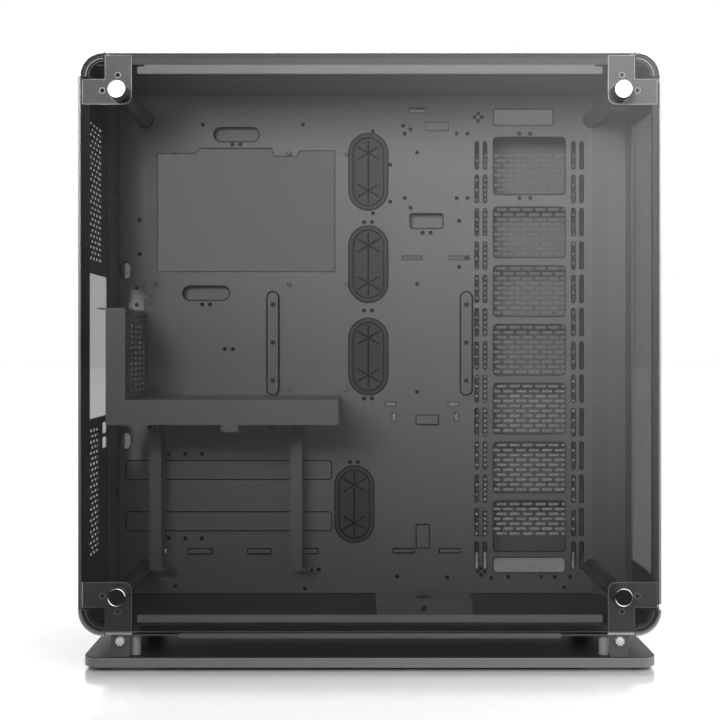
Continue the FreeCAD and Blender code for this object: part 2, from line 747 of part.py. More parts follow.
# Base plate with its foot pads and the posts that carry the body
base_plate = new_body("base_plate")
slab = pad(base_plate, "base_slab", "z", "dim.foot_tall", BASE_TOP, lambda sketch: rounded(
    sketch, "-place.base_long / 2", "place.base_long / 2",
    "-place.base_wide / 2", "place.base_wide / 2", "dim.base_radius"))
top_level = number(BASE_TOP)
round_edges(base_plate, "base_rim", slab, "dim.base_edge",
            lambda edge, middle: abs(middle.z - top_level) < 0.01)


def four_places(sketch, across, deep, radius):
    circles(sketch, [(side + across, face + deep) for side in ("-", "") for face in ("-", "")], radius)


base_feet = new_body("base_feet")


def draw_feet(sketch):
    for side in ("-1", "1"):
        for face in ("-1", "1"):
            middle_x, middle_y = f"{side} * place.foot_x", f"{face} * place.foot_y"
            rounded(sketch, middle_x + " - dim.foot_long / 2", middle_x + " + dim.foot_long / 2",
                    middle_y + " - dim.foot_wide / 2", middle_y + " + dim.foot_wide / 2", "dim.foot_tall")


pad(base_feet, "foot_pads", "z", "0", "dim.foot_tall", draw_feet)

base_posts = new_body("base_posts")
pad(base_posts, "post_rods", "z", BASE_TOP, "place.floor_top - dim.sheet",
    lambda sketch: four_places(sketch, "place.post_x", "place.post_y", "dim.post_radius"))

# Angle brackets at the corners of the base plate, and the thumb screws through them
for side_name, side in CORNERS:
    for face_name, face in (("near", "-1"), ("far", "1")):
        bracket = new_body("clamp_" + face_name + "_" + side_name)
        middle = f"{side} * place.clamp_x"
        outer = f"{face} * dim.frame_wide / 2"
        inner = f"{face} * (place.post_y + dim.post_radius + dim.seat_gap)"
        wall = f"{face} * (dim.frame_wide / 2 - dim.clamp_sheet)"
        left = f"{middle} - dim.clamp_wide / 2"
        right = f"{middle} + dim.clamp_wide / 2"
        low, high = (outer, inner) if face == "-1" else (inner, outer)
        pad(bracket, bracket.Name + "_foot", "z", BASE_TOP, BASE_TOP + " + dim.clamp_sheet",
            lambda sketch: rectangle(sketch, left, right, low, high))
        low, high = (outer, wall) if face == "-1" else (wall, outer)
        pad(bracket, bracket.Name + "_wall", "z", BASE_TOP, BODY_LOW,
            lambda sketch: rectangle(sketch, left, right, low, high))
        pocket(bracket, bracket.Name + "_bore", "y", low, high, lambda sketch: circle(
            sketch, middle, "place.thumb_z", "dim.thumb_shank + dim.seat_gap"))

# Thumb screws through the brackets, with fluted heads
thumb_screws = new_body("thumb_screws")


def draw_thumb_places(sketch, radius):
    circles(sketch, [(side + "place.clamp_x", "place.thumb_z") for side in ("-", "")], radius)


def draw_thumb_flutes(sketch):
    turn = "360 / dim.thumb_flutes"
    steps = range(int(number("dim.thumb_flutes")))
    circles(sketch, [(f"{side}place.clamp_x + dim.thumb_radius * cos({step} * {turn})",
                      f"place.thumb_z + dim.thumb_radius * sin({step} * {turn})")
                     for side in ("-", "") for step in steps], "dim.thumb_flute")


for face_name, face in (("near", "-1"), ("far", "1")):
    seat = f"{face} * dim.frame_wide / 2"
    crown = f"{face} * (dim.frame_wide / 2 + dim.thumb_head)"
    tail = f"{face} * (dim.frame_wide / 2 - dim.thumb_shank_long)"
    head_low, head_high = (crown, seat) if face == "-1" else (seat, crown)
    tail_low, tail_high = (seat, tail) if face == "-1" else (tail, seat)
    pad(thumb_screws, "thumb_heads_" + face_name, "y", head_low, head_high,
        lambda sketch: draw_thumb_places(sketch, "dim.thumb_radius"))
    pad(thumb_screws, "thumb_shanks_" + face_name, "y", tail_low, tail_high,
        lambda sketch: draw_thumb_places(sketch, "dim.thumb_shank"))
    pocket(thumb_screws, "thumb_flutes_" + face_name, "y", head_low, head_high, draw_thumb_flutes)

# Corner covers: quarter rings that join the panels along the four long corners
for level_name, level, up in LEVELS:
    for side_name, side in CORNERS:
        cover = new_body("corner_cover_" + level_name + "_" + side_name)
        centre_x = f"{side} * ({HALF} - dim.corner_radius)"
        centre_z = f"{level} + {up} * dim.corner_radius"

        def quarter(sketch, outer, inner):
            """A quarter ring about the corner's centre, opening away from the body."""
            toward_x = -1 if side == "-1" else 1
            toward_z = -1 if up == "1" else 1
            middle_angle = math.atan2(toward_z, toward_x)
            start, end = middle_angle - math.pi / 4, middle_angle + math.pi / 4
            origin = FreeCAD.Vector(number(centre_x), number(centre_z), 0)
            flat_point = 1 if abs(math.sin(start)) < 0.5 else 2
            rings = [Part.ArcOfCircle(Part.Circle(origin, UP, number(radius)), start, end)
                     for radius in (outer, inner)]
            arcs = sketch.addGeometry(rings, False)
            wanted = []
            for arc, radius in zip(arcs, (outer, inner)):
                wanted += [held("DistanceX", arc, 3, centre_x), held("DistanceY", arc, 3, centre_z),
                           radius_of(arc, radius), held("DistanceY", arc, flat_point, centre_z),
                           held("DistanceX", arc, 3 - flat_point, centre_x)]
            for point in (1, 2):
                a = FreeCAD.Vector(*sketch.getPoint(arcs[0], point))
                b = FreeCAD.Vector(*sketch.getPoint(arcs[1], point))
                line = sketch.addGeometry(Part.LineSegment(a, b), False)
                wanted += [(Sketcher.Constraint("Coincident", line, 1, arcs[0], point), None),
                           (Sketcher.Constraint("Coincident", line, 2, arcs[1], point), None)]
            tie(sketch, wanted)

        name = cover.Name
        pad(cover, name + "_shell", "y", NEAR, FAR, lambda sketch: quarter(
            sketch, "dim.corner_radius", "dim.corner_radius - dim.cover_wall"))
        for face_name, start, end in (("near", NEAR, NEAR + " + dim.cover_end"),
                                      ("far", FAR + " - dim.cover_end", FAR)):
            pad(cover, name + "_" + face_name + "_band", "y", start, end, lambda sketch: quarter(
                sketch, "dim.corner_radius", "dim.corner_radius - dim.cover_band"))
        for face_name, start, end in (("near", NEAR + " + dim.cover_step", NEAR + " + dim.cover_end"),
                                      ("far", FAR + " - dim.cover_end", FAR + " - dim.cover_step")):
            pad(cover, name + "_" + face_name + "_lip", "y", start, end, lambda sketch: quarter(
                sketch, "dim.corner_radius", "dim.corner_radius - dim.cover_band - dim.cover_lip"))

# Gussets: flat angles at the eight frame corners, with the posts that join them across the body
for level_name, level, up in LEVELS:
    for side_name, side in CORNERS:
        corner = level_name + "_" + side_name
        end = "dim.gusset_low_end" if level_name == "bottom" else "dim.gusset_end"

        def out_x(inset):
            return f"{side} * ({HALF} - ({inset}))"

        def out_z(inset):
            return f"{level} + {up} * ({inset})"

        for face_name, start, finish in (("near", NEAR, NEAR + " + dim.gusset_thick"),
                                         ("far", FAR + " - dim.gusset_thick", FAR)):
            gusset = new_body("gusset_" + face_name + "_" + corner)
            plate = pad(gusset, gusset.Name + "_plate", "y", start, finish, lambda sketch: polygon(sketch, [
                (out_x("dim.gusset_end"), out_z("dim.gusset_notch")),
                (out_x("dim.gusset_leg"), out_z("dim.gusset_notch")),
                (out_x("dim.gusset_leg"), out_z(end)),
                (out_x("dim.gusset_reach"), out_z(end)),
                (out_x("dim.gusset_reach"), out_z("dim.gusset_reach")),
                (out_x("dim.gusset_end"), out_z("dim.gusset_reach"))]))
            inner_x = number(out_x("dim.gusset_reach"))
            inner_z = number(out_z("dim.gusset_reach"))
            rounded_plate = round_edges(gusset, gusset.Name + "_corner", plate, "dim.gusset_fillet",
                                        lambda edge, middle: abs(middle.x - inner_x) < 0.01
                                        and abs(middle.z - inner_z) < 0.01)
            pocket(gusset, gusset.Name + "_bore", "y", start, finish, lambda sketch: circle(
                sketch, out_x("dim.knob_inset"), out_z("dim.knob_inset"), "dim.stud_radius + dim.seat_gap"))
            outer_face, inner_face = (start, finish) if face_name == "near" else (finish, start)
            inward = "1" if face_name == "near" else "-1"
            sunk = f"{outer_face} + {inward} * (dim.gusset_screw_deep + dim.seat_gap)"
            low, high = (outer_face, sunk) if face_name == "near" else (sunk, outer_face)

            def draw_sinks(sketch):
                circles(sketch, [(out_x(inset_x), out_z(inset_z)) for inset_x, inset_z in GUSSET_SCREWS],
                        "dim.gusset_screw_radius + dim.seat_gap")

            pocket(gusset, gusset.Name + "_sinks", "y", low, high, draw_sinks)
        pillar = new_body("corner_post_" + corner)
        pad(pillar, pillar.Name + "_tube", "y", NEAR + " + dim.gusset_thick", FAR + " - dim.gusset_thick",
            lambda sketch: circle(sketch, out_x("dim.knob_inset"), out_z("dim.knob_inset"),
                                  "dim.pillar_radius"))
        pocket(pillar, pillar.Name + "_bore", "y", NEAR, FAR, lambda sketch: circle(
            sketch, out_x("dim.knob_inset"), out_z("dim.knob_inset"), "dim.pillar_bore"))
        doc.recompute()

# Screws that lie flush in the gussets
gusset_screws = new_body("gusset_screws")
for face_name, start, finish in (("near", NEAR, NEAR + " + dim.gusset_screw_deep"),
                                 ("far", FAR + " - dim.gusset_screw_deep", FAR)):
    def draw_gusset_screws(sketch):
        circles(sketch, [(f"{side} * ({HALF} - ({inset_x}))", f"{level} + {up} * ({inset_z})")
                         for level_name, level, up in LEVELS for side_name, side in CORNERS
                         for inset_x, inset_z in GUSSET_SCREWS], "dim.gusset_screw_radius")
    pad(gusset_screws, "gusset_screws_" + face_name, "y", start, finish, draw_gusset_screws)


def draw_knob_places(sketch, radius):
    circles(sketch, [(f"{side} * ({HALF} - dim.knob_inset)", f"{level} + {up} * dim.knob_inset")
                     for level_name, level, up in LEVELS for side_name, side in CORNERS], radius)


# Knobs with their studs, and the bright caps on them
for face_name, face, glass in (("near", "-1", "dim.side_glass"), ("far", "1", "dim.far_glass")):
    knobs = new_body("knobs_" + face_name)
    caps = new_body("knob_caps_" + face_name)
    seat = f"{face} * (dim.frame_wide / 2 + {glass})"
    front = f"{face} * (dim.frame_wide / 2 + {glass} + dim.knob_long)"
    crown = f"{face} * (dim.frame_wide / 2 + {glass} + dim.knob_long + dim.cap_thick)"
    tail = f"{face} * (dim.frame_wide / 2 + {glass} - dim.stud_long)"
    low, high = (front, seat) if face == "-1" else (seat, front)
    pad(knobs, knobs.Name + "_grip", "y", low, high,
        lambda sketch: draw_knob_places(sketch, "dim.knob_radius"))
    low, high = (seat, tail) if face == "-1" else (tail, seat)
    pad(knobs, knobs.Name + "_stud", "y", low, high,
        lambda sketch: draw_knob_places(sketch, "dim.stud_radius"))
    low, high = (crown, front) if face == "-1" else (front, crown)
    pad(caps, caps.Name + "_disc", "y", low, high,
        lambda sketch: draw_knob_places(sketch, "dim.cap_radius"))

# Side panes, held by the knobs
for pane_name, start, finish in (("glass_near", NEAR + " - dim.side_glass", NEAR),
                                 ("glass_far", FAR, FAR + " + dim.far_glass")):
    pane = new_body(pane_name)
    pad(pane, pane_name + "_sheet", "y", start, finish, lambda sketch: rounded(
        sketch, f"-({HALF}) + dim.side_glass_inset", f"{HALF} - dim.side_glass_inset",
        BODY_LOW + " + dim.side_glass_inset + dim.gusset_low_end",
        BODY_HIGH + " - dim.side_glass_inset", "dim.side_glass_radius"))
    pocket(pane, pane_name + "_holes", "y", start, finish,
           lambda sketch: draw_knob_places(sketch, "dim.glass_hole"))

# Top and front panes
glass_top = new_body("glass_top")
pad(glass_top, "glass_top_sheet", "z", BODY_HIGH + " - dim.top_glass", BODY_HIGH,
    lambda sketch: rectangle(sketch, f"-({HALF}) + dim.pane_end", f"{HALF} - dim.pane_end", NEAR, FAR))
glass_front = new_body("glass_front")
pad(glass_front, "glass_front_sheet", "x", HALF + " - dim.front_glass", HALF,
    lambda sketch: rectangle(sketch, NEAR, FAR, BODY_LOW + " + dim.pane_end", BODY_HIGH + " - dim.pane_end"))

# Top panel: a folded sheet under the top pane
top_panel = new_body("top_panel")
INNER_NEAR = NEAR + " + dim.gusset_thick + dim.seat_gap"
INNER_FAR = FAR + " - dim.gusset_thick - dim.seat_gap"
pad(top_panel, "roof_web", "z", ROOF, ROOF + " + dim.sheet", lambda sketch: rectangle(
    sketch, "place.rear_wall_x", "place.front_web_x", INNER_NEAR, INNER_FAR))
pad(top_panel, "roof_middle", "z", ROOF, ROOF + " + dim.sheet", lambda sketch: rectangle(
    sketch, f"-({GUSSET_X}) + dim.seat_gap", f"{GUSSET_X} - dim.seat_gap", NEAR, FAR))
for face_name, start, finish in (("near", NEAR, NEAR + " + dim.sheet"), ("far", FAR + " - dim.sheet", FAR)):
    pad(top_panel, "roof_flange_" + face_name, "y", start, finish, lambda sketch: rectangle(
        sketch, f"-({GUSSET_X}) + dim.seat_gap", f"{GUSSET_X} - dim.seat_gap",
        ROOF, ROOF + " + dim.top_panel_tall"))

BEVEL_Y = "place.tray_y - dim.tray_bevel"
FLANGE_END = BEVEL_Y + " - dim.tray_front_flange - dim.seat_gap"
pad(top_panel, "roof_front_flange", "x", "place.front_web_x - dim.sheet", "place.front_web_x",
    lambda sketch: rectangle(sketch, INNER_NEAR, FLANGE_END,
                             BODY_HIGH + " - dim.corner_radius - dim.front_lap", ROOF))

# Bottom panel: the floor of the body, with flanges along its two long edges
bottom_panel = new_body("bottom_panel")
pad(bottom_panel, "floor_web", "z", "place.floor_top - dim.sheet", "place.floor_top",
    lambda sketch: rectangle(sketch, "place.rear_wall_x", "place.front_web_x", INNER_NEAR, INNER_FAR))
pad(bottom_panel, "floor_middle", "z", "place.floor_top - dim.sheet", "place.floor_top",
    lambda sketch: rectangle(sketch, f"-({GUSSET_X}) + dim.seat_gap", f"{GUSSET_X} - dim.seat_gap",
                             NEAR, FAR))
for face_name, start, finish in (("near", NEAR, NEAR + " + dim.sheet"), ("far", FAR + " - dim.sheet", FAR)):
    pad(bottom_panel, "floor_flange_" + face_name, "y", start, finish, lambda sketch: rectangle(
        sketch, f"-({GUSSET_X}) + dim.seat_gap", f"{GUSSET_X} - dim.seat_gap",
        "place.floor_top - dim.floor_flange", "place.floor_top"))

pad(bottom_panel, "floor_front_flange", "x", "place.front_web_x - dim.sheet", "place.front_web_x",
    lambda sketch: rectangle(sketch, INNER_NEAR, FLANGE_END, "place.floor_top",
                             BODY_LOW + " + dim.corner_radius + dim.front_lap"))

# Rails along the top and bottom of both sides
for face_name, start, finish in (("near", NEAR, NEAR + " + dim.rail_thick"),
                                 ("far", FAR + " - dim.rail_thick", FAR)):
    rail = new_body("top_rail_" + face_name)
    pad(rail, rail.Name + "_bar", "y", start, finish, lambda sketch: rounded(
        sketch, "-place.rail_half_long", "place.rail_half_long",
        ROOF + " - dim.rail_tall - dim.rail_groove", ROOF + " - dim.rail_groove", "dim.rail_radius"))
    pad(rail, rail.Name + "_tongue", "y", f"({start}) + dim.seat_gap", f"({finish}) - dim.seat_gap",
        lambda sketch: rectangle(sketch, "-place.rail_half_long + dim.rail_tall",
                                 "place.rail_half_long - dim.rail_tall",
                                 ROOF + " - dim.rail_groove - dim.rail_radius", ROOF))
    rail = new_body("bottom_rail_" + face_name)
    pad(rail, rail.Name + "_bar", "y", start, finish, lambda sketch: rounded(
        sketch, "-place.rail_half_long", "place.rail_half_long",
        "place.floor_top", "place.floor_top + dim.rail_tall", "dim.rail_radius"))

# Skirt plate under the body, and the dust filter that hangs below it
skirt = new_body("skirt_plate")
pad(skirt, "skirt_web", "z", BODY_LOW, BODY_LOW + " + dim.skirt_sheet",
    lambda sketch: rectangle(sketch, "-place.skirt_half_long", "place.skirt_half_long", NEAR, FAR))
pocket(skirt, "skirt_post_holes", "z", BODY_LOW, BODY_LOW + " + dim.skirt_sheet",
       lambda sketch: four_places(sketch, "place.post_x", "place.post_y", "dim.post_radius + dim.seat_gap"))
pocket(skirt, "skirt_vent", "z", BODY_LOW, BODY_LOW + " + dim.skirt_sheet", lambda sketch: rounded(
    sketch, "-place.filter_half_long + dim.filter_border", "place.filter_half_long - dim.filter_border",
    NEAR + " + 2 * dim.filter_border", FAR + " - 2 * dim.filter_border", "dim.bay_radius"))
dust_filter = new_body("dust_filter")
FILTER_LOW = BODY_LOW + " - dim.filter_thick"
pad(dust_filter, "filter_frame", "z", FILTER_LOW, BODY_LOW, lambda sketch: rectangle(
    sketch, "-place.filter_half_long", "place.filter_half_long", NEAR, FAR + " - dim.filter_border"))
pad(dust_filter, "filter_handle", "y", NEAR + " - dim.filter_lip", NEAR, lambda sketch: rounded(
    sketch, "-place.filter_half_long", "place.filter_half_long",
    FILTER_LOW, FILTER_LOW + " + dim.filter_lip_tall", "dim.filter_lip"))

# Rear wall: one folded sheet with two vents, the card cut-out and two cable slots
rear_panel = new_body("rear_panel")
REAR = f"-({HALF})"
pad(rear_panel, "rear_web", "x", "place.rear_wall_x - dim.sheet", "place.rear_wall_x",
    lambda sketch: rectangle(sketch, INNER_NEAR, INNER_FAR,
                             "place.floor_top - dim.sheet", ROOF + " + dim.sheet"))
pad(rear_panel, "rear_web_middle", "x", "place.rear_wall_x - dim.sheet", "place.rear_wall_x",
    lambda sketch: rectangle(sketch, NEAR, FAR, BODY_LOW + " + dim.gusset_reach + dim.seat_gap",
                             BODY_HIGH + " - dim.gusset_reach - dim.seat_gap"))
for face_name, start, finish in (("near", NEAR, NEAR + " + dim.sheet"), ("far", FAR + " - dim.sheet", FAR)):
    pad(rear_panel, "rear_flange_" + face_name, "y", start, finish, lambda sketch: polygon(sketch, [
        (REAR, BODY_LOW + " + dim.corner_radius + dim.seat_gap"),
        (REAR + " + dim.rear_flange_end", BODY_LOW + " + dim.corner_radius + dim.seat_gap"),
        (REAR + " + dim.rear_flange_end", BODY_LOW + " + dim.gusset_reach + dim.seat_gap"),
        ("place.rear_wall_x", BODY_LOW + " + dim.gusset_reach + dim.seat_gap"),
        ("place.rear_wall_x", BODY_HIGH + " - dim.gusset_reach - dim.seat_gap"),
        (REAR + " + dim.rear_flange_end", BODY_HIGH + " - dim.gusset_reach - dim.seat_gap"),
        (REAR + " + dim.rear_flange_end", BODY_HIGH + " - dim.corner_radius - dim.seat_gap"),
        (REAR, BODY_HIGH + " - dim.corner_radius - dim.seat_gap")]))
for face_name, start, finish in (("near", NEAR, NEAR + " + dim.rear_skin_deep"),
                                 ("far", FAR + " - dim.rear_skin_deep", FAR)):
    pad(rear_panel, "rear_return_" + face_name, "y", start, finish, lambda sketch: rectangle(
        sketch, REAR, REAR + " + dim.sheet",
        BODY_LOW + " + dim.corner_radius + dim.seat_gap", BODY_HIGH + " - dim.corner_radius - dim.seat_gap"))
pocket(rear_panel, "card_cutout", "x", "place.rear_wall_x - dim.sheet", "place.rear_wall_x",
       lambda sketch: rectangle(sketch, NEAR + " + dim.sheet", "place.cutout_far",
                                "place.cutout_low", "place.cutout_high"))
cable_slot = pocket(rear_panel, "cable_slot", "x", "place.rear_wall_x - dim.sheet", "place.rear_wall_x",
                    lambda sketch: rectangle(sketch, "place.cable_slot_near",
                                             "place.cutout_far", "place.cable_slot_low",
                                             "place.cable_slot_low + dim.cable_slot_tall"))
repeat(rear_panel, "cable_slots", cable_slot, "V_Axis", "dim.cable_slot_pitch * (dim.cable_slot_count - 1)",
       "dim.cable_slot_count")
for part_name in ("upper", "lower"):
    low = f"place.vent_{part_name}_low"
    pitch = f"place.vent_{part_name}_pitch"
    rows, columns = f"dim.vent_{part_name}_rows", f"dim.vent_{part_name}_columns"
    first = pocket(rear_panel, "vent_" + part_name, "x", "place.rear_wall_x - dim.sheet", "place.rear_wall_x",
                   lambda sketch: rectangle(sketch, NEAR + " + dim.vent_first_y",
                                            NEAR + " + dim.vent_first_y + dim.vent_slot_long",
                                            low, f"{low} + dim.vent_open_share * {pitch}"))
    repeat(rear_panel, "vents_" + part_name, first, "V_Axis", f"{pitch} * ({rows} - 1)", rows,
           "H_Axis", f"dim.vent_pitch_y * ({columns} - 1)", columns)

# Front frame: a sheet with one tall window behind the front pane
front_frame = new_body("front_frame")
FRONT_IN = "place.front_web_x"
FRONT_OUT = HALF + " - dim.front_glass"
pad(front_frame, "front_web", "x", FRONT_IN, FRONT_OUT, lambda sketch: rectangle(
    sketch, INNER_NEAR, INNER_FAR, BODY_LOW + " + dim.corner_radius", BODY_HIGH + " - dim.corner_radius"))
for face_name, start, finish in (("near", NEAR, NEAR + " + dim.front_border_near"),
                                 ("far", FAR + " - dim.front_border_near", FAR)):
    pad(front_frame, "front_pillar_" + face_name, "y", start, finish, lambda sketch: rectangle(
        sketch, FRONT_IN + " - 2 * dim.sheet", FRONT_OUT, BODY_LOW + " + dim.gusset_reach + dim.seat_gap",
        BODY_HIGH + " - dim.gusset_reach - dim.seat_gap"))
pocket(front_frame, "front_window", "x", FRONT_IN, FRONT_OUT, lambda sketch: rounded(
    sketch, NEAR + " + dim.front_border_near", BEVEL_Y + " - dim.front_window_gap",
    BODY_LOW + " + dim.front_border_end", BODY_HIGH + " - dim.front_border_end", "dim.bay_radius"))

# Tray: a folded sheet that carries the board, its cross-section drawn from above
tray = new_body("motherboard_tray")
REAR_IN = "place.rear_wall_x"
pad(tray, "tray_sheet", "z", "place.floor_top", ROOF, lambda sketch: polygon(sketch, [
    (REAR_IN, "place.tray_y - dim.tray_rear_flange"),
    (REAR_IN + " + dim.sheet", "place.tray_y - dim.tray_rear_flange"),
    (REAR_IN + " + dim.sheet", "place.tray_y"),
    ("place.tray_bevel_x", "place.tray_y"),
    ("place.tray_bevel_x + dim.tray_bevel", BEVEL_Y),
    (FRONT_IN + " - dim.sheet", BEVEL_Y),
    (FRONT_IN + " - dim.sheet", BEVEL_Y + " - dim.tray_front_flange"),
    (FRONT_IN, BEVEL_Y + " - dim.tray_front_flange"),
    (FRONT_IN, BEVEL_Y + " + dim.sheet"),
    ("place.tray_bevel_x + dim.tray_bevel + dim.sheet / 2", BEVEL_Y + " + dim.sheet"),
    ("place.tray_bevel_x + dim.sheet / 2", "place.tray_y + dim.sheet"),
    (REAR_IN, "place.tray_y + dim.sheet")]))
BACK = "place.tray_y + dim.sheet"


def cut_tray(name, draw):
    return pocket(tray, name, "y", TRAY, BACK, draw)


for index, low in enumerate(("place.emboss_low_one", "place.emboss_low_two"), start=1):
    pad(tray, "emboss_" + str(index), "y", "place.tray_y - dim.emboss_high", TRAY, lambda sketch: rounded(
        sketch, "place.emboss_left", "place.emboss_right", low, low + " + dim.emboss_tall", "dim.bay_radius"))
pocket(tray, "pillar_holes", "y", BEVEL_Y + " - dim.tray_bevel", BACK,
       lambda sketch: draw_knob_places(sketch, "dim.pillar_radius + dim.seat_gap"))
cut_tray("bay", lambda sketch: polygon(sketch, [
    ("place.bay_left", "place.bay_low"),
    ("place.bay_right", "place.bay_low"),
    ("place.bay_right", "place.bay_high"),
    ("place.bay_step_three", "place.bay_high"),
    ("place.bay_step_three - dim.bay_short_slope", "place.bay_high - dim.bay_drop"),
    ("place.bay_step_two + dim.bay_short_slope", "place.bay_high - dim.bay_drop"),
    ("place.bay_step_two", "place.bay_high + dim.bay_rise"),
    ("place.bay_step_one + dim.bay_slope", "place.bay_high + dim.bay_rise"),
    ("place.bay_step_one", "place.bay_high - dim.bay_rear_step"),
    ("place.bay_left", "place.bay_high - dim.bay_rear_step")]))


def draw_tray_slots(sketch):
    level_slot(sketch, "place.slot_upper_x", "place.slot_upper_z", "dim.slot_upper_long", "dim.slot_tall")
    level_slot(sketch, "place.slot_lower_x", "place.slot_lower_z", "dim.slot_lower_long", "dim.slot_tall")
    rounded(sketch, "place.port_left", "place.port_right", "place.port_low", "place.port_high",
            "dim.port_radius")
    rounded(sketch, "place.notch_left", "place.notch_right", "place.notch_low", "place.notch_high",
            "dim.port_radius")
    for up in ("place.lace_upper_z", "place.lace_lower_z"):
        upright_slot(sketch, "place.lace_x", up, "dim.lace_wide", "dim.lace_tall")


cut_tray("cable_openings", draw_tray_slots)

GROMMETS = [("place.grommet_column_x", f"place.grommet_first_z + {step} * dim.grommet_pitch")
            for step in range(3)]
GROMMETS.append(("place.grommet_low_x", "place.grommet_low_z"))


def draw_grommet_holes(sketch):
    for across, up in GROMMETS:
        upright_slot(sketch, across, up, "dim.grommet_wide - 2 * dim.grommet_flange",
                     "dim.grommet_tall - 2 * dim.grommet_flange")


cut_tray("grommet_holes", draw_grommet_holes)
window = cut_tray("window", lambda sketch: rounded(
    sketch, "place.window_left", "place.window_right",
    "place.window_low", "place.window_low + place.window_tall", "dim.window_radius"))
repeat(tray, "windows", window, "V_Axis", "place.window_pitch * (dim.window_count - 1)", "dim.window_count")


def draw_end_windows(sketch):
    for name in ("top", "short"):
        rounded(sketch, "place.window_left", "place.window_right", f"place.{name}_window_low",
                f"place.{name}_window_low + dim.{name}_window_tall", "dim.window_radius")


cut_tray("end_windows", draw_end_windows)


def draw_fan_slots(sketch):
    for side in ("-1", "1"):
        for offset in ("dim.fan_slot_inner", "dim.fan_slot_outer"):
            upright_slot(sketch, f"place.window_middle + {side} * {offset}",
                         "place.fan_slot_low + place.fan_slot_long / 2",
                         "dim.fan_slot_wide", "place.fan_slot_long")


fan_slot = cut_tray("fan_slot", draw_fan_slots)
repeat(tray, "fan_slots", fan_slot, "V_Axis", "place.fan_slot_pitch * (dim.fan_slot_count - 1)",
       "dim.fan_slot_count")


def on_tray(kind, name, entry):
    """Where an entry of a table lies on the tray."""
    return f"place.{entry[0]} + dim.{kind}_{name}_across", f"place.{entry[2]} + dim.{kind}_{name}_up"


def draw_small_holes(sketch):
    spots = [on_tray("hole", name, entry) for name, entry in small_holes.items()]
    for level in ("dim.row_high_rise", "dim.row_low_rise"):
        for step in range(3):
            spots.append((f"place.board_x + dim.row_first + {step} * dim.row_pitch",
                          f"place.floor_top + {level}"))
    circles(sketch, spots, "dim.small_hole")


def draw_drive_holes(sketch):
    """The holes of small drives: pairs along the port's row, in two rows."""
    circles(sketch, [("place.port_x - dim.drive_hole_start"
                      f" + {step} * dim.drive_hole_pitch + {side} * dim.drive_hole_across",
                      f"place.board_z + dim.drive_hole_up - {row} * dim.drive_hole_down")
                     for row in range(2) for step, side in ((0, 0), (0, 1), (1, 0), (1, 1), (2, 0))],
            "dim.small_hole")


def draw_hole_pairs(sketch):
    spots = []
    for name, entry in hole_pairs.items():
        across, up = on_tray("pair", name, entry)
        spots += [(f"{across} {side} dim.pair_pitch / 2", up) for side in ("-", "+")]
    for across, up in (
            ("place.window_left - dim.diamond_high_back", "place.roof_z - dim.diamond_high_down"),
            ("place.window_left - dim.diamond_low_back", "place.floor_top + dim.diamond_low_rise")):
        for side in ("-", "+"):
            spots += [(f"{across} {side} dim.diamond", up), (across, f"{up} {side} dim.diamond")]
    circles(sketch, spots, "dim.pair_hole")


def draw_small_cuts(sketch):
    outlines = []
    for name, entry in small_cuts.items():
        left, low = on_tray("cut", name, entry)
        outlines.append(corners(left, f"{left} + dim.cut_{name}_long", low, f"{low} + dim.cut_{name}_tall"))
    polygons(sketch, outlines)


cut_tray("small_holes", draw_small_holes)
cut_tray("drive_holes", draw_drive_holes)
cut_tray("hole_pairs", draw_hole_pairs)
cut_tray("small_cuts", draw_small_cuts)


def loop_outlines(inside):
    """The raised loops' outlines, or the openings that run under them the short way."""
    outlines = []
    for name, entry in tie_loops.items():
        left, low = on_tray("loop", name, entry)
        right = f"{left} + dim.loop_{name}_long"
        high = f"{low} + dim.loop_{name}_tall"
        lies_level = entry[4] > entry[5]
        if inside and lies_level:
            left, right = left + " + dim.loop_end", right + " - dim.loop_end"
        elif inside:
            low, high = low + " + dim.loop_end", high + " - dim.loop_end"
        outlines.append(corners(left, right, low, high))
    return outlines


# Raised loops pressed out of the tray: a strip on two ends, open under its middle
pad(tray, "tie_loops", "y", "place.tray_y - dim.loop_high", TRAY,
    lambda sketch: polygons(sketch, loop_outlines(False)))
pocket(tray, "tie_loop_openings", "y", "place.tray_y - dim.loop_high + dim.sheet", TRAY,
       lambda sketch: polygons(sketch, loop_outlines(True)))

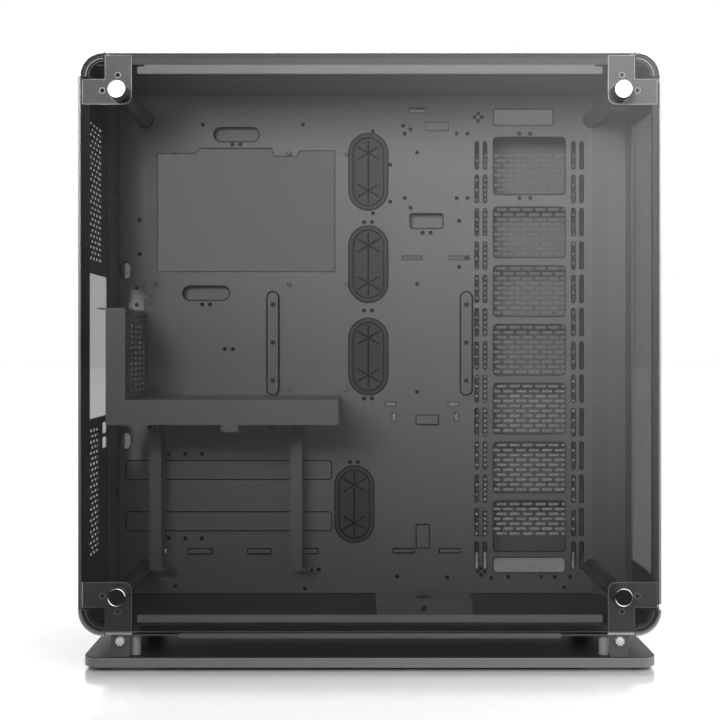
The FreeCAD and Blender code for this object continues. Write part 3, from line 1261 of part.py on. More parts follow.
# Rubber grommets in the tray's cable holes, each with a slit and a star of cuts at both ends
for index, (across, up) in enumerate(GROMMETS, start=1):
    grommet = new_body("grommet_" + str(index))
    name = grommet.Name
    pad(grommet, name + "_rim", "y", "place.tray_y - dim.grommet_lip", TRAY,
        lambda sketch: upright_slot(sketch, across, up, "dim.grommet_wide", "dim.grommet_tall"))
    pad(grommet, name + "_neck", "y", TRAY, BACK + " + dim.grommet_lip", lambda sketch: upright_slot(
        sketch, across, up, "dim.grommet_wide - 2 * dim.grommet_flange",
        "dim.grommet_tall - 2 * dim.grommet_flange"))
    pocket(grommet, name + "_well", "y", "place.tray_y - dim.grommet_lip",
           BACK + " + dim.grommet_lip - dim.grommet_skin", lambda sketch: upright_slot(
               sketch, across, up, "dim.grommet_wide - 2 * dim.grommet_rim",
               "dim.grommet_tall - 2 * dim.grommet_rim"))
    reach = "(dim.grommet_tall - dim.grommet_wide) / 2"
    pocket(grommet, name + "_slit", "y", TRAY, BACK + " + dim.grommet_lip", lambda sketch: rectangle(
        sketch, f"{across} - dim.grommet_slit / 2", f"{across} + dim.grommet_slit / 2",
        f"{up} - {reach} - dim.grommet_arm", f"{up} + {reach} + dim.grommet_arm"))
    for end_name, end in (("low", "-1"), ("high", "1")):
        star_z = f"{up} + {end} * {reach}"
        for turn in (60, -60):
            along_x, along_z = f"sin({turn})", f"cos({turn})"
            half = "dim.grommet_slit / 2"
            pocket(grommet, f"{name}_star_{end_name}", "y", TRAY, BACK + " + dim.grommet_lip",
                   lambda sketch: polygon(sketch, [
                       (f"{across} + {far} * dim.grommet_arm * {along_x} + {edge} * {half} * {along_z}",
                        f"{star_z} + {far} * dim.grommet_arm * {along_z} - {edge} * {half} * {along_x}")
                       for far, edge in (("-1", "-1"), ("-1", "1"), ("1", "1"), ("1", "-1"))]))

# Fan grille behind the windows: a dished plate full of slots, near the far pane
grille = new_body("fan_grille")
pad(grille, "grille_plate", "y", "place.grille_y", "place.grille_y + dim.sheet", lambda sketch: rounded(
    sketch, "place.grille_left", "place.grille_right", "place.grille_low", "place.grille_high",
    "dim.window_radius"))
for name, left in (("rear", "place.grille_left"), ("front", "place.grille_right - dim.sheet")):
    pad(grille, "grille_lip_" + name, "x", left, left + " + dim.sheet", lambda sketch: rectangle(
        sketch, BACK, "place.grille_y + dim.sheet",
        "place.grille_low + dim.window_radius", "place.grille_high - dim.window_radius"))
GRILLE_SLOT_LEFT = ("(place.grille_left + place.grille_right - dim.grille_slot_long"
                    " - dim.grille_pitch_x * (dim.grille_columns - 1)) / 2")
GRILLE_SLOT_LOW = ("(place.grille_low + place.grille_high - dim.grille_slot_tall"
                   " - place.grille_pitch_z * (dim.grille_rows - 1)) / 2")
grille_slot = pocket(grille, "grille_slot", "y", "place.grille_y", "place.grille_y + dim.sheet",
                     lambda sketch: rectangle(sketch, GRILLE_SLOT_LEFT,
                                              GRILLE_SLOT_LEFT + " + dim.grille_slot_long",
                                              GRILLE_SLOT_LOW, GRILLE_SLOT_LOW + " + dim.grille_slot_tall"))
repeat(grille, "grille_slots", grille_slot, "V_Axis", "place.grille_pitch_z * (dim.grille_rows - 1)",
       "dim.grille_rows", "H_Axis", "dim.grille_pitch_x * (dim.grille_columns - 1)", "dim.grille_columns")

# Standoffs for the board, in rows that follow the board's hole pattern
standoffs = new_body("standoffs")
STANDOFFS = [(f"place.board_column_{column}", f"place.board_row_{row}")
             for row in ("low", "mid") for column in ("one", "two", "three")]
STANDOFFS += [("place.board_rear_top", "place.board_row_top"),
              ("place.board_column_two", "place.board_row_top"),
              ("place.board_column_three", "place.board_row_top")]


def draw_standoffs(sketch, radius):
    circles(sketch, STANDOFFS, radius)


pad(standoffs, "standoff_bodies", "y", "place.tray_y - dim.standoff_tall", TRAY,
    lambda sketch: draw_standoffs(sketch, "dim.standoff_radius"))
pocket(standoffs, "standoff_bores", "y", "place.tray_y - dim.standoff_tall",
       "place.tray_y - dim.standoff_floor", lambda sketch: draw_standoffs(sketch, "dim.standoff_bore"))

# Cable strips on the tray and their screws
for name in ("rear", "front"):
    strip = new_body("cable_strip_" + name)
    pad(strip, strip.Name + "_bar", "y", "place.tray_y - dim.strip_thick", TRAY,
        lambda sketch: upright_slot(sketch, f"place.strip_{name}_x",
                                    "(place.strip_low + place.strip_high) / 2",
                                    "dim.strip_wide", "place.strip_high - place.strip_low"))
panel_screws = new_body("panel_screws")


def draw_strip_screws(sketch):
    circles(sketch, [(f"place.strip_{name}_x",
                      f"place.strip_low + dim.strip_screw_first + {step} * dim.strip_screw_pitch")
                     for name in ("rear", "front") for step in range(3)], "dim.screw_head")


pad(panel_screws, "strip_screw_heads", "y", "place.tray_y - dim.strip_thick - dim.screw_head_tall",
    "place.tray_y - dim.strip_thick", draw_strip_screws)


def draw_wall_screws(sketch):
    circles(sketch, [("place.tray_y - dim.wall_screw_deep", up) for up in (
        "place.board_z - dim.wall_screw_upper", "place.floor_top + dim.wall_screw_lower")], "dim.screw_head")


def draw_shelf_screws(sketch):
    circles(sketch, [(f"place.rear_wall_x + {across}", "place.card_shelf - dim.shelf_screw_down")
                     for across in ("dim.shelf_screw_rear", "dim.shelf_screw_front")], "dim.screw_head")


pad(panel_screws, "wall_screw_heads", "x", "place.rear_wall_x + dim.sheet",
    "place.rear_wall_x + dim.sheet + dim.screw_head_tall", draw_wall_screws)
pad(panel_screws, "shelf_screw_heads", "y", "place.tray_y - dim.screw_head_tall", TRAY, draw_shelf_screws)
PUMP_Y = NEAR + " + dim.pump_near"
pad(panel_screws, "pump_screw_head", "y", PUMP_Y + " - dim.screw_head_tall", PUMP_Y,
    lambda sketch: circle(sketch, "(place.pump_left + place.pump_right) / 2",
                          "place.floor_top + dim.pump_tall / 2", "dim.screw_head"))

# Card bracket: front flange, shelf, perforated wall and perforated cap folded from one sheet
card = new_body("card_bracket")
CARD_Y = NEAR + " + dim.card_near"
pad(card, "card_flange", "y", CARD_Y, CARD_Y + " + dim.sheet", lambda sketch: polygon(sketch, [
    ("place.card_left", "place.card_low"),
    ("place.card_right", "place.card_low"),
    ("place.card_right", "place.card_shelf"),
    ("place.card_wall_x", "place.card_shelf"),
    ("place.card_wall_x", "place.card_wall_top"),
    ("place.card_left", "place.card_wall_top")]))
pad(card, "card_shelf_plate", "z", "place.card_shelf - dim.sheet", "place.card_shelf",
    lambda sketch: rectangle(sketch, "place.card_left", "place.card_right", CARD_Y, TRAY))
pad(card, "card_wall", "x", "place.card_wall_x - dim.sheet", "place.card_wall_x",
    lambda sketch: rectangle(sketch, CARD_Y, TRAY, "place.card_shelf - dim.sheet", "place.card_wall_top"))
pad(card, "card_cap", "z", "place.card_wall_top - dim.sheet", "place.card_wall_top",
    lambda sketch: rectangle(sketch, "place.card_cap_left", "place.card_wall_x", CARD_Y, TRAY))
card_slot = pocket(card, "card_slot", "x", "place.card_wall_x - dim.sheet", "place.card_wall_x",
                   lambda sketch: rectangle(
                       sketch, CARD_Y + " + dim.card_slot_wide",
                       CARD_Y + " + 2 * dim.card_slot_wide",
                       "place.card_shelf + dim.card_slot_tall", "place.card_shelf + 2 * dim.card_slot_tall"))
repeat(card, "card_slots", card_slot, "V_Axis", "dim.card_slot_pitch_z * (dim.card_slot_rows - 1)",
       "dim.card_slot_rows", "H_Axis", "dim.card_slot_pitch_y * (dim.card_slot_columns - 1)",
       "dim.card_slot_columns")

cap_slot = pocket(card, "cap_slot", "z", "place.card_wall_top - dim.sheet", "place.card_wall_top",
                  lambda sketch: rectangle(
                      sketch, "place.card_cap_left + 2 * dim.card_slot_tall",
                      "place.card_cap_left + 3 * dim.card_slot_tall",
                      CARD_Y + " + dim.card_slot_wide", CARD_Y + " + 2 * dim.card_slot_wide"))
repeat(card, "cap_slots", cap_slot, "H_Axis", "dim.card_slot_pitch_z * (dim.card_cap_slots - 1)",
       "dim.card_cap_slots", "V_Axis", "dim.card_slot_pitch_y * (dim.card_slot_columns - 1)",
       "dim.card_slot_columns")
pad(card, "card_tab", "y", CARD_Y, CARD_Y + " + dim.sheet", lambda sketch: rectangle(
    sketch, "place.card_tab_left", "place.card_tab_left + dim.card_tab_long",
    "place.card_low - dim.card_tab_tall", "place.card_low"))

# Supply posts: upright channels on the tray under the shelf
for name in ("rear", "front"):
    post = new_body("supply_post_" + name)
    middle = f"place.supply_{name}_x"
    left = f"{middle} - dim.supply_wide / 2"
    right = f"{middle} + dim.supply_wide / 2"
    front = "place.tray_y - dim.supply_deep"
    seat = "place.tray_y - dim.emboss_high"
    channel = [(left, front), (right, front), (right, seat), (right + " - dim.supply_sheet", seat),
               (right + " - dim.supply_sheet", front + " + dim.supply_sheet"),
               (left + " + dim.supply_sheet", front + " + dim.supply_sheet"),
               (left + " + dim.supply_sheet", seat), (left, seat)]
    pad(post, post.Name + "_channel", "z", "place.supply_low", "place.supply_high",
        lambda sketch: polygon(sketch, channel))
    pad(post, post.Name + "_foot", "z", "place.supply_low - dim.supply_sheet", "place.supply_low",
        lambda sketch: rectangle(sketch, left, right + " + dim.supply_foot", front, seat))
    pad(post, post.Name + "_head", "z", "place.supply_high", "place.supply_high + dim.supply_sheet",
        lambda sketch: rectangle(sketch, left, right, front, seat))
    pad(post, post.Name + "_stud", "z", "place.supply_high + dim.supply_sheet",
        "place.card_shelf - dim.sheet", lambda sketch: circle(
            sketch, middle, "place.tray_y - dim.supply_deep / 2", "dim.supply_stud_radius"))

# Pump bracket: a hat-shaped plate with one round hole
pump = new_body("pump_bracket")
pad(pump, "pump_top", "z", "place.floor_top + dim.pump_tall - dim.pump_sheet",
    "place.floor_top + dim.pump_tall", lambda sketch: rectangle(
        sketch, "place.pump_left", "place.pump_right", PUMP_Y, PUMP_Y + " + dim.pump_deep"))
for name, start in (("near", PUMP_Y), ("far", PUMP_Y + " + dim.pump_deep - dim.pump_sheet")):
    pad(pump, "pump_wall_" + name, "y", start, start + " + dim.pump_sheet", lambda sketch: rectangle(
        sketch, "place.pump_left", "place.pump_right",
        "place.floor_top", "place.floor_top + dim.pump_tall"))
pocket(pump, "pump_opening", "z", "place.floor_top + dim.pump_tall - dim.pump_sheet",
       "place.floor_top + dim.pump_tall", lambda sketch: circle(
           sketch, "(place.pump_left + place.pump_right) / 2", PUMP_Y + " + dim.pump_deep / 2",
           "dim.pump_hole"))

# Drive plates behind the tray's cable slots
DRIVE_PLATES = [
    ("upper", "place.slot_upper_x - dim.slot_upper_long / 2 - dim.drive_plate_lap",
     "place.slot_upper_x + dim.slot_upper_long / 2 + dim.drive_plate_lap", "place.slot_upper_z"),
    ("middle", "place.port_left - dim.drive_plate_lap", "place.grille_left - dim.drive_plate_clear",
     "(place.port_low + place.port_high) / 2"),
    ("lower", "place.slot_lower_x - dim.slot_lower_long / 2 - dim.drive_plate_lap",
     "place.slot_lower_x + dim.slot_lower_long / 2 + dim.drive_plate_lap", "place.slot_lower_z")]
for name, left, right, up in DRIVE_PLATES:
    plate = new_body("drive_plate_" + name)
    start = BACK + " + dim.drive_plate_gap"
    low = f"{up} - dim.slot_tall / 2 - dim.drive_plate_rim"
    high = f"{up} + dim.slot_tall / 2 + dim.drive_plate_rim"
    pad(plate, plate.Name + "_web", "y", start, start + " + dim.sheet",
        lambda sketch: rectangle(sketch, left, right, low, high))
    for end_name, level in (("low", low), ("high", high + " - dim.sheet")):
        pad(plate, plate.Name + "_lip_" + end_name, "z", level, level + " + dim.sheet",
            lambda sketch: rectangle(sketch, left, right, BACK, start + " + dim.sheet"))

# Everything is worked out, checked and written
doc.recompute()
for item in doc.Objects:
    if "Invalid" in item.State or "Error" in item.State:
        raise RuntimeError(item.Name + " failed: " + str(item.State))
pieces = [item for item in doc.Objects if item.TypeId == "PartDesign::Body"]
os.makedirs("parts", exist_ok=True)
for piece in pieces:
    if piece.Shape.isNull() or not piece.Shape.isValid():
        raise RuntimeError(piece.Label + " has no valid shape")
for piece in pieces:
    piece.Shape.exportStep("parts/" + piece.Label + ".step")
    print(piece.Label, len(piece.Shape.Solids), "solids", round(piece.Shape.Volume), "mm3")
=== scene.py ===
# %% [markdown]
# # An open-frame computer chassis, dressed for a studio picture
#
# The object is a square, glass-sided frame for a computer that stands on a glossy black base plate.
# Its sheets, gussets, panes and posts come from the CAD model, in metres and in their right places.
# This lesson rounds their edges, adds the parts that CAD leaves plain, such as the fine
# perforations, knobs and screws, and gives every surface a finish.

# %% Load the CAD model
import bpy
import json
import math
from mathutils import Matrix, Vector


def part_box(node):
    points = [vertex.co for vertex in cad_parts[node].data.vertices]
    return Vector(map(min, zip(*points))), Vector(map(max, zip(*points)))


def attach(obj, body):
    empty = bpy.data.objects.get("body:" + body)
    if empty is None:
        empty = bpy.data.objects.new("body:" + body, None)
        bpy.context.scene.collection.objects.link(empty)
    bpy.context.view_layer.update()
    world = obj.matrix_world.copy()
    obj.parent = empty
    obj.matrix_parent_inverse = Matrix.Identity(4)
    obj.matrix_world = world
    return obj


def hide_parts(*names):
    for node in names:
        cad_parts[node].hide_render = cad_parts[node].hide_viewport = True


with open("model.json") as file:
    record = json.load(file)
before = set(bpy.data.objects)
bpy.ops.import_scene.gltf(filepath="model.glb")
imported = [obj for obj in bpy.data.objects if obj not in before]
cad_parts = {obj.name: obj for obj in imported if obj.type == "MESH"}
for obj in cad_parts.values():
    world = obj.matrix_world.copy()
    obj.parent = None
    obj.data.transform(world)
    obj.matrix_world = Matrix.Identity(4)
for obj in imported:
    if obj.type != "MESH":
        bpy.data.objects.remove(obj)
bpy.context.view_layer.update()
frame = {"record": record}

# %% [markdown]
# ## Working tools
#
# Every operator in Blender acts on what is selected, and the loaded parts are all selected at the
# start. So each step first clears the selection. Faces are then picked in code by their place or
# the way they face, which does in a script what a click does by hand.


# %% Helpers for picking and finishing
def pick_only(piece=None):
    """Leaves one piece selected and active, or nothing."""
    if bpy.context.object and bpy.context.object.mode != "OBJECT":
        bpy.ops.object.mode_set(mode="OBJECT")
    bpy.ops.object.select_all(action="DESELECT")
    if piece:
        piece.select_set(True)
        bpy.context.view_layer.objects.active = piece


def edit_faces(piece, wanted):
    """Opens a piece in edit mode with only the wanted faces selected."""
    pick_only(piece)
    bpy.ops.object.mode_set(mode="EDIT")
    bpy.ops.mesh.select_mode(type="FACE")
    bpy.ops.mesh.select_all(action="DESELECT")
    bpy.ops.object.mode_set(mode="OBJECT")
    count = 0
    for face in piece.data.polygons:
        face.select = bool(wanted(face))
        count += face.select
    bpy.ops.object.mode_set(mode="EDIT")
    return count


def apply_all(piece):
    """Applies a piece's modifiers and puts its place into its mesh."""
    pick_only(piece)
    for modifier in list(piece.modifiers):
        bpy.ops.object.modifier_apply(modifier=modifier.name)
    bpy.ops.object.transform_apply(location=True, rotation=True, scale=True)


def triangles(piece):
    return sum(len(face.vertices) - 2 for face in piece.data.polygons)


def merged_copy(node, name):
    """A copy of a CAD part with its loose triangles merged."""
    piece = bpy.data.objects.new(name, bpy.data.objects[node].data.copy())
    bpy.context.collection.objects.link(piece)
    pick_only(piece)
    bpy.ops.object.mode_set(mode="EDIT")
    bpy.ops.mesh.select_mode(type="VERT")
    bpy.ops.mesh.select_all(action="SELECT")
    bpy.ops.mesh.remove_doubles(threshold=0.000001)
    bpy.ops.object.mode_set(mode="OBJECT")
    return piece


def join(pieces, name):
    """Makes several meshes one object."""
    pick_only(pieces[0])
    for piece in pieces[1:]:
        piece.select_set(True)
    if len(pieces) > 1:
        bpy.ops.object.join()
    pieces[0].name = name
    return pieces[0]


# %% [markdown]
# ## Camera and studio
#
# The picture was taken level with the middle of the frame and square to its side, so all edges
# that run away from us meet in one point. The camera stands at that point's height, and a small
# shift puts the point where it is in the picture.

# %% Camera
view = bpy.data.cameras.new("camera")
camera = bpy.data.objects.new("camera", view)
bpy.context.collection.objects.link(camera)
camera.location = (-0.0158, -1.469, 0.345)
camera.rotation_euler = (math.radians(90), 0, 0)
picture_side = 720
view.sensor_width = 36
view.lens = 64.05
view.shift_x = 5 / picture_side
view.shift_y = -13 / picture_side
bpy.context.scene.camera = camera
print("camera at", tuple(round(v, 4) for v in camera.location), "lens", view.lens)

# %% [markdown]
# The floor is white and polished. Its reflection of the plate is dark at the plate's foot and fades
# out within a hand's breadth, so the polish itself fades with the distance from the plate.

# %% The floor
pale = bpy.data.materials.new("studio_floor")
pale.use_nodes = True
shader = pale.node_tree.nodes["Principled BSDF"]
shader.inputs["Roughness"].default_value = 0.14


def step_node(tree, operation, *values):
    """A Math node; each value is a number or another node's output."""
    node = tree.nodes.new("ShaderNodeMath")
    node.operation = operation
    for socket, value in zip(node.inputs, values):
        if isinstance(value, (int, float)):
            socket.default_value = value
        else:
            tree.links.new(value, socket)
    return node.outputs[0]


def ramp_node(tree, value, low, high, start=0.0, end=1.0, smooth=False):
    """Goes from a start to an end while a value goes from low to high."""
    node = tree.nodes.new("ShaderNodeMapRange")
    if smooth:
        node.interpolation_type = "SMOOTHSTEP"
    node.inputs["From Min"].default_value = low
    node.inputs["From Max"].default_value = high
    node.inputs["To Min"].default_value = start
    node.inputs["To Max"].default_value = end
    tree.links.new(value, node.inputs["Value"])
    return node.outputs["Result"]


def object_place(tree):
    """The place on the object, through a Mapping node, and its three parts."""
    mapping = tree.nodes.new("ShaderNodeMapping")
    tree.links.new(tree.nodes.new("ShaderNodeTexCoord").outputs["Object"], mapping.inputs["Vector"])
    parts = tree.nodes.new("ShaderNodeSeparateXYZ")
    tree.links.new(mapping.outputs["Vector"], parts.inputs[0])
    return mapping.outputs["Vector"], parts.outputs


plate_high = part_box("base_plate")[1]
polish_fades = 0.12
tree = pale.node_tree
spot, parts = object_place(tree)
beside = step_node(tree, "SUBTRACT", step_node(tree, "ABSOLUTE", parts["X"]), plate_high[0])
before = step_node(tree, "SUBTRACT", step_node(tree, "ABSOLUTE", parts["Y"]), plate_high[1])
gap = step_node(tree, "MAXIMUM", beside, before)
polish = ramp_node(tree, gap, 0.0, polish_fades, 0.6, 0.02, smooth=True)
tree.links.new(polish, shader.inputs["Metallic"])
speckle = tree.nodes.new("ShaderNodeTexNoise")
speckle.inputs["Scale"].default_value = 40
tree.links.new(spot, speckle.inputs["Vector"])
tree.links.new(ramp_node(tree, speckle.outputs["Fac"], 0.3, 0.7, 0.93, 0.95), shader.inputs["Base Color"])
floor_edge = -0.125
floor_reach, floor_width = 20, 40


def floor_sheet(name, near, far):
    """One sheet of the studio floor, from one depth to another."""
    pick_only()
    bpy.ops.mesh.primitive_plane_add(size=1, location=(0, (near + far) / 2, 0))
    sheet = bpy.context.object
    sheet.name = name
    sheet.scale = (floor_width, far - near, 1)
    bpy.ops.object.transform_apply(location=True, rotation=True, scale=True)
    sheet.data.materials.append(pale)
    return sheet


floor_sheet("studio_floor", floor_edge, floor_reach)
apron = floor_sheet("studio_floor_apron", -floor_reach, floor_edge)
apron.visible_glossy = False
bpy.context.scene.view_settings.view_transform = "Standard"
print("floor meets its apron at", floor_edge)

# %% [markdown]
# The studio is white behind the object. On the camera's side it is dark where the side pane mirrors
# it, with a soft glow that grows to the upper right, and bright only higher up. That is why the pane
# looks clear at the left and at the bottom and a little milky at the upper right. The world is
# painted by direction alone, so it stays put from any view.

# %% Studio light
world = bpy.data.worlds.new("studio")
world.use_nodes = True
bpy.context.scene.world = world
nodes, links = world.node_tree.nodes, world.node_tree.links
backdrop = nodes["Background"]
backdrop.inputs["Color"].default_value = (1, 1, 1, 1)

tree = world.node_tree
parts = nodes.new("ShaderNodeSeparateXYZ")
links.new(nodes.new("ShaderNodeTexCoord").outputs["Generated"], parts.inputs[0])
glow_right = ramp_node(tree, parts.outputs["X"], -0.24, 0.24)
glow_high = ramp_node(tree, parts.outputs["Z"], -0.16, 0.24)
glow = step_node(tree, "MULTIPLY", glow_right, glow_high)
canopy = ramp_node(tree, parts.outputs["Z"], 0.3, 0.8, smooth=True)
camera_side = step_node(tree, "MULTIPLY_ADD", glow, 2.6, 0.02)
camera_side = step_node(tree, "MULTIPLY_ADD", canopy, 1.0, camera_side)
front = ramp_node(tree, parts.outputs["Y"], 0.1, -0.3, smooth=True)
blend = nodes.new("ShaderNodeMix")
blend.inputs["A"].default_value = 1.0
links.new(front, blend.inputs["Factor"])
links.new(camera_side, blend.inputs["B"])
seen = nodes.new("ShaderNodeMix")
seen.inputs["B"].default_value = 1.0
links.new(nodes.new("ShaderNodeLightPath").outputs["Is Camera Ray"], seen.inputs["Factor"])
links.new(blend.outputs["Result"], seen.inputs["A"])
links.new(seen.outputs["Result"], backdrop.inputs["Strength"])

# %% [markdown]
# One gridded soft box lights the tray from the left of the camera. The left and top edges of the
# openings in the picture throw the shadows, which tells where it stands. The grid narrows its beam,
# and it is aimed at the upper right, so the light falls off towards the bottom and the left. It is
# kept out of reflections, because the side pane would mirror it. A second box hangs over the floor
# in front of the plate and keeps it white. Two very small boxes are placed where only the upper caps
# mirror them, which turns those caps white.


# %% Soft boxes
def soft_light(name, place, aim, wide, tall, power, spread=180):
    """A soft box at a place, turned to face a point, that glass lets through only as light."""
    lamp = bpy.data.lights.new(name, "AREA")
    lamp.shape = "RECTANGLE"
    lamp.size = wide
    lamp.size_y = tall
    lamp.energy = power
    lamp.spread = math.radians(spread)
    holder = bpy.data.objects.new(name, lamp)
    bpy.context.collection.objects.link(holder)
    holder.location = place
    away = holder.location - type(holder.location)(aim)
    holder.rotation_euler = away.to_track_quat("Z", "Y").to_euler()
    holder.visible_transmission = False
    return holder


key = soft_light("key", (-0.28, -1.35, 0.86), (0.12, 0.0, 0.68), 0.9, 0.6, 36, spread=44)
key.visible_glossy = False
wash = soft_light("floor_wash", (0, -0.5, 1.6), (0, -0.3, 0), 1.2, 0.5, 0.25, spread=45)
wash.visible_glossy = False
cap_faces = {"left": (-0.2653, -0.13, 0.6149), "right": (0.2653, -0.13, 0.6149)}
for side, cap in cap_faces.items():
    away = [cap[axis] - camera.location[axis] for axis in range(3)]
    place = (cap[0] + away[0], cap[1] - away[1], cap[2] + away[2])
    catch = soft_light("catch_" + side, place, cap, 0.044, 0.044, 0.013)
    catch.data.shape = "DISK"

# %% [markdown]
# ## Finishes
#
# Powder coat is thousands of tiny melted grains, so up close it is a fine orange-peel bump with
# hardly any change of colour. Noise at two scales makes it: one for the grain, and a slow one that
# lets the sheen drift a little over a wide sheet. The group is made once, and each metal finish
# places it with its own scale and depth.


# %% Shader groups
def new_group(name, inputs, outputs):
    """An empty shader group with its sockets, and its input and output nodes."""
    group = bpy.data.node_groups.new(name, "ShaderNodeTree")
    for kind, label, value in inputs:
        socket = group.interface.new_socket(label, in_out="INPUT", socket_type=kind)
        if value is not None:
            socket.default_value = value
    for kind, label in outputs:
        group.interface.new_socket(label, in_out="OUTPUT", socket_type=kind)
    return group, group.nodes.new("NodeGroupInput"), group.nodes.new("NodeGroupOutput")


coat_group, given, result = new_group(
    "powder_coat",
    [("NodeSocketVector", "Place", None), ("NodeSocketColor", "Colour", (0.1, 0.1, 0.1, 1)),
     ("NodeSocketFloat", "Grain", 900.0), ("NodeSocketFloat", "Sheen", 0.5),
     ("NodeSocketFloat", "Drift", 0.06)],
    [("NodeSocketColor", "Colour"), ("NodeSocketFloat", "Roughness"), ("NodeSocketFloat", "Height")])
grain = coat_group.nodes.new("ShaderNodeTexNoise")
grain.inputs["Detail"].default_value = 2
coat_group.links.new(given.outputs["Place"], grain.inputs["Vector"])
coat_group.links.new(given.outputs["Grain"], grain.inputs["Scale"])
slow = coat_group.nodes.new("ShaderNodeTexNoise")
slow.inputs["Scale"].default_value = 7
slow.inputs["Detail"].default_value = 3
coat_group.links.new(given.outputs["Place"], slow.inputs["Vector"])
drifted = step_node(coat_group, "SUBTRACT", slow.outputs["Fac"], 0.5)
drifted = step_node(coat_group, "MULTIPLY", drifted, given.outputs["Drift"])
rough = step_node(coat_group, "ADD", given.outputs["Sheen"], drifted)
coat_group.links.new(rough, result.inputs["Roughness"])
speck = ramp_node(coat_group, grain.outputs["Fac"], 0.0, 1.0, 0.93, 1.07)
tone = coat_group.nodes.new("ShaderNodeVectorMath")
tone.operation = "SCALE"
coat_group.links.new(given.outputs["Colour"], tone.inputs[0])
coat_group.links.new(speck, tone.inputs["Scale"])
coat_group.links.new(tone.outputs[0], result.inputs["Colour"])
coat_group.links.new(grain.outputs["Fac"], result.inputs["Height"])
print("groups:", [group.name for group in bpy.data.node_groups])


# %% Finishes from the powder-coat group
def coated(name, colour, sheen, metal=0.0, grain_scale=900.0, depth=0.00006, drift=0.06, shine=0.5):
    """A material whose colour, sheen and bump come from the powder-coat group."""
    material = bpy.data.materials.new(name)
    material.use_nodes = True
    nodes, links = material.node_tree.nodes, material.node_tree.links
    shader = nodes["Principled BSDF"]
    shader.inputs["Metallic"].default_value = metal
    shader.inputs["Specular IOR Level"].default_value = shine
    place = nodes.new("ShaderNodeTexCoord")
    mapping = nodes.new("ShaderNodeMapping")
    links.new(place.outputs["Object"], mapping.inputs["Vector"])
    effect = nodes.new("ShaderNodeGroup")
    effect.node_tree = coat_group
    effect.inputs["Colour"].default_value = (*colour, 1)
    effect.inputs["Grain"].default_value = grain_scale
    effect.inputs["Sheen"].default_value = sheen
    effect.inputs["Drift"].default_value = drift
    links.new(mapping.outputs["Vector"], effect.inputs["Place"])
    links.new(effect.outputs["Colour"], shader.inputs["Base Color"])
    links.new(effect.outputs["Roughness"], shader.inputs["Roughness"])
    bump = nodes.new("ShaderNodeBump")
    bump.inputs["Distance"].default_value = depth
    bump.inputs["Strength"].default_value = 0.35
    links.new(effect.outputs["Height"], bump.inputs["Height"])
    links.new(bump.outputs["Normal"], shader.inputs["Normal"])
    return material


finishes = {
    "steel": coated("frame_powder_coat", (0.13, 0.13, 0.135), 0.42),
    "tray_steel": coated("tray_powder_coat", (0.24, 0.24, 0.245), 0.45),
    "gusset_steel": coated("gusset_powder_coat", (0.22, 0.22, 0.225), 0.38),
    "post_steel": coated("post_black_coat", (0.05, 0.05, 0.052), 0.35),
    "cover_plastic": coated("cover_plastic", (0.11, 0.11, 0.112), 0.4, grain_scale=1600.0, depth=0.00003),
    "rail_steel": coated("rail_coat", (0.3, 0.3, 0.305), 0.36),
    "knob_metal": coated("knob_black", (0.02, 0.02, 0.021), 0.25, metal=0.3),
    "mirror_cap": coated("cap_polished", (0.9, 0.9, 0.91), 0.05, metal=1.0, depth=0.000005, drift=0.02),
    "screw_steel": coated("screw_zinc", (0.4, 0.4, 0.41), 0.28, metal=0.4, depth=0.00001),
    "grommet_rubber": coated("grommet_rubber", (0.075, 0.075, 0.075), 0.62, grain_scale=1400.0),
    "foot_rubber": coated("foot_rubber", (0.1, 0.1, 0.1), 0.6, grain_scale=1400.0),
    "base_gloss": coated("base_gloss_black", (0.013, 0.013, 0.013), 0.4, depth=0.00001, drift=0.04,
                         shine=0.15),
    "filter_plastic": coated("filter_plastic", (0.04, 0.04, 0.04), 0.5),
    "grille_steel": coated("grille_coat", (0.19, 0.19, 0.192), 0.45),
    # A pale coat for edge wires: a painted highlight where the edges of gussets, covers and the pump
    # bracket catch the light.
    "edge_highlight_steel": coated("painted_edge_highlight", (0.34, 0.34, 0.345), 0.4),
    # A near-black coat for wires and nuts: painted shade in edges, gaps, slits and holes.
    "painted_shade_line": coated("painted_shade_line", (0.012, 0.012, 0.012), 0.6, shine=0.1),
    # A darker coat that is painted shade: for the skirt, the bottom panel, the clamps and the rear wall's
    # outer flanges.
    "painted_shade_steel": coated("painted_shade_coat", (0.035, 0.035, 0.036), 0.45),
    # A lighter coat for the base plate's upright faces, which is painted light.
    "base_edge": coated("base_edge_coat", (0.08, 0.08, 0.081), 0.35),
    # A lighter copy of the rail coat for the bottom rails, which is painted light.
    "rail_painted_light": coated("low_rail_coat", (0.5, 0.5, 0.505), 0.36),
    "strip_steel": coated("cable_strip_coat", (0.22, 0.22, 0.225), 0.4),
    "dark_screw": coated("screw_black", (0.1, 0.1, 0.1), 0.3, metal=0.8, depth=0.00001),
}
print("finishes:", sorted(finishes))

# %% [markdown]
# The panes are neutral grey glass that lets through a little over a third of the light. A pane has
# two faces, so its tint is felt once in all by light that goes right through.

# %% Tinted glass
glass = bpy.data.materials.new("tinted_pane")
glass.use_nodes = True
tree = glass.node_tree
shader = tree.nodes["Principled BSDF"]
shader.inputs["Transmission Weight"].default_value = 1.0
shader.inputs["IOR"].default_value = 1.45
cloud = tree.nodes.new("ShaderNodeTexNoise")
cloud.inputs["Scale"].default_value = 3
tree.links.new(object_place(tree)[0], cloud.inputs["Vector"])
tree.links.new(ramp_node(tree, cloud.outputs["Fac"], 0, 1, 0.34, 0.36), shader.inputs["Base Color"])
tree.links.new(ramp_node(tree, cloud.outputs["Fac"], 0, 1, 0.0, 0.012), shader.inputs["Roughness"])
shadow_ray = tree.nodes.new("ShaderNodeLightPath").outputs["Is Shadow Ray"]
tree.links.new(step_node(tree, "MULTIPLY_ADD", shadow_ray, -0.36, 1.0), shader.inputs["Alpha"])
finishes["tinted_glass"] = glass
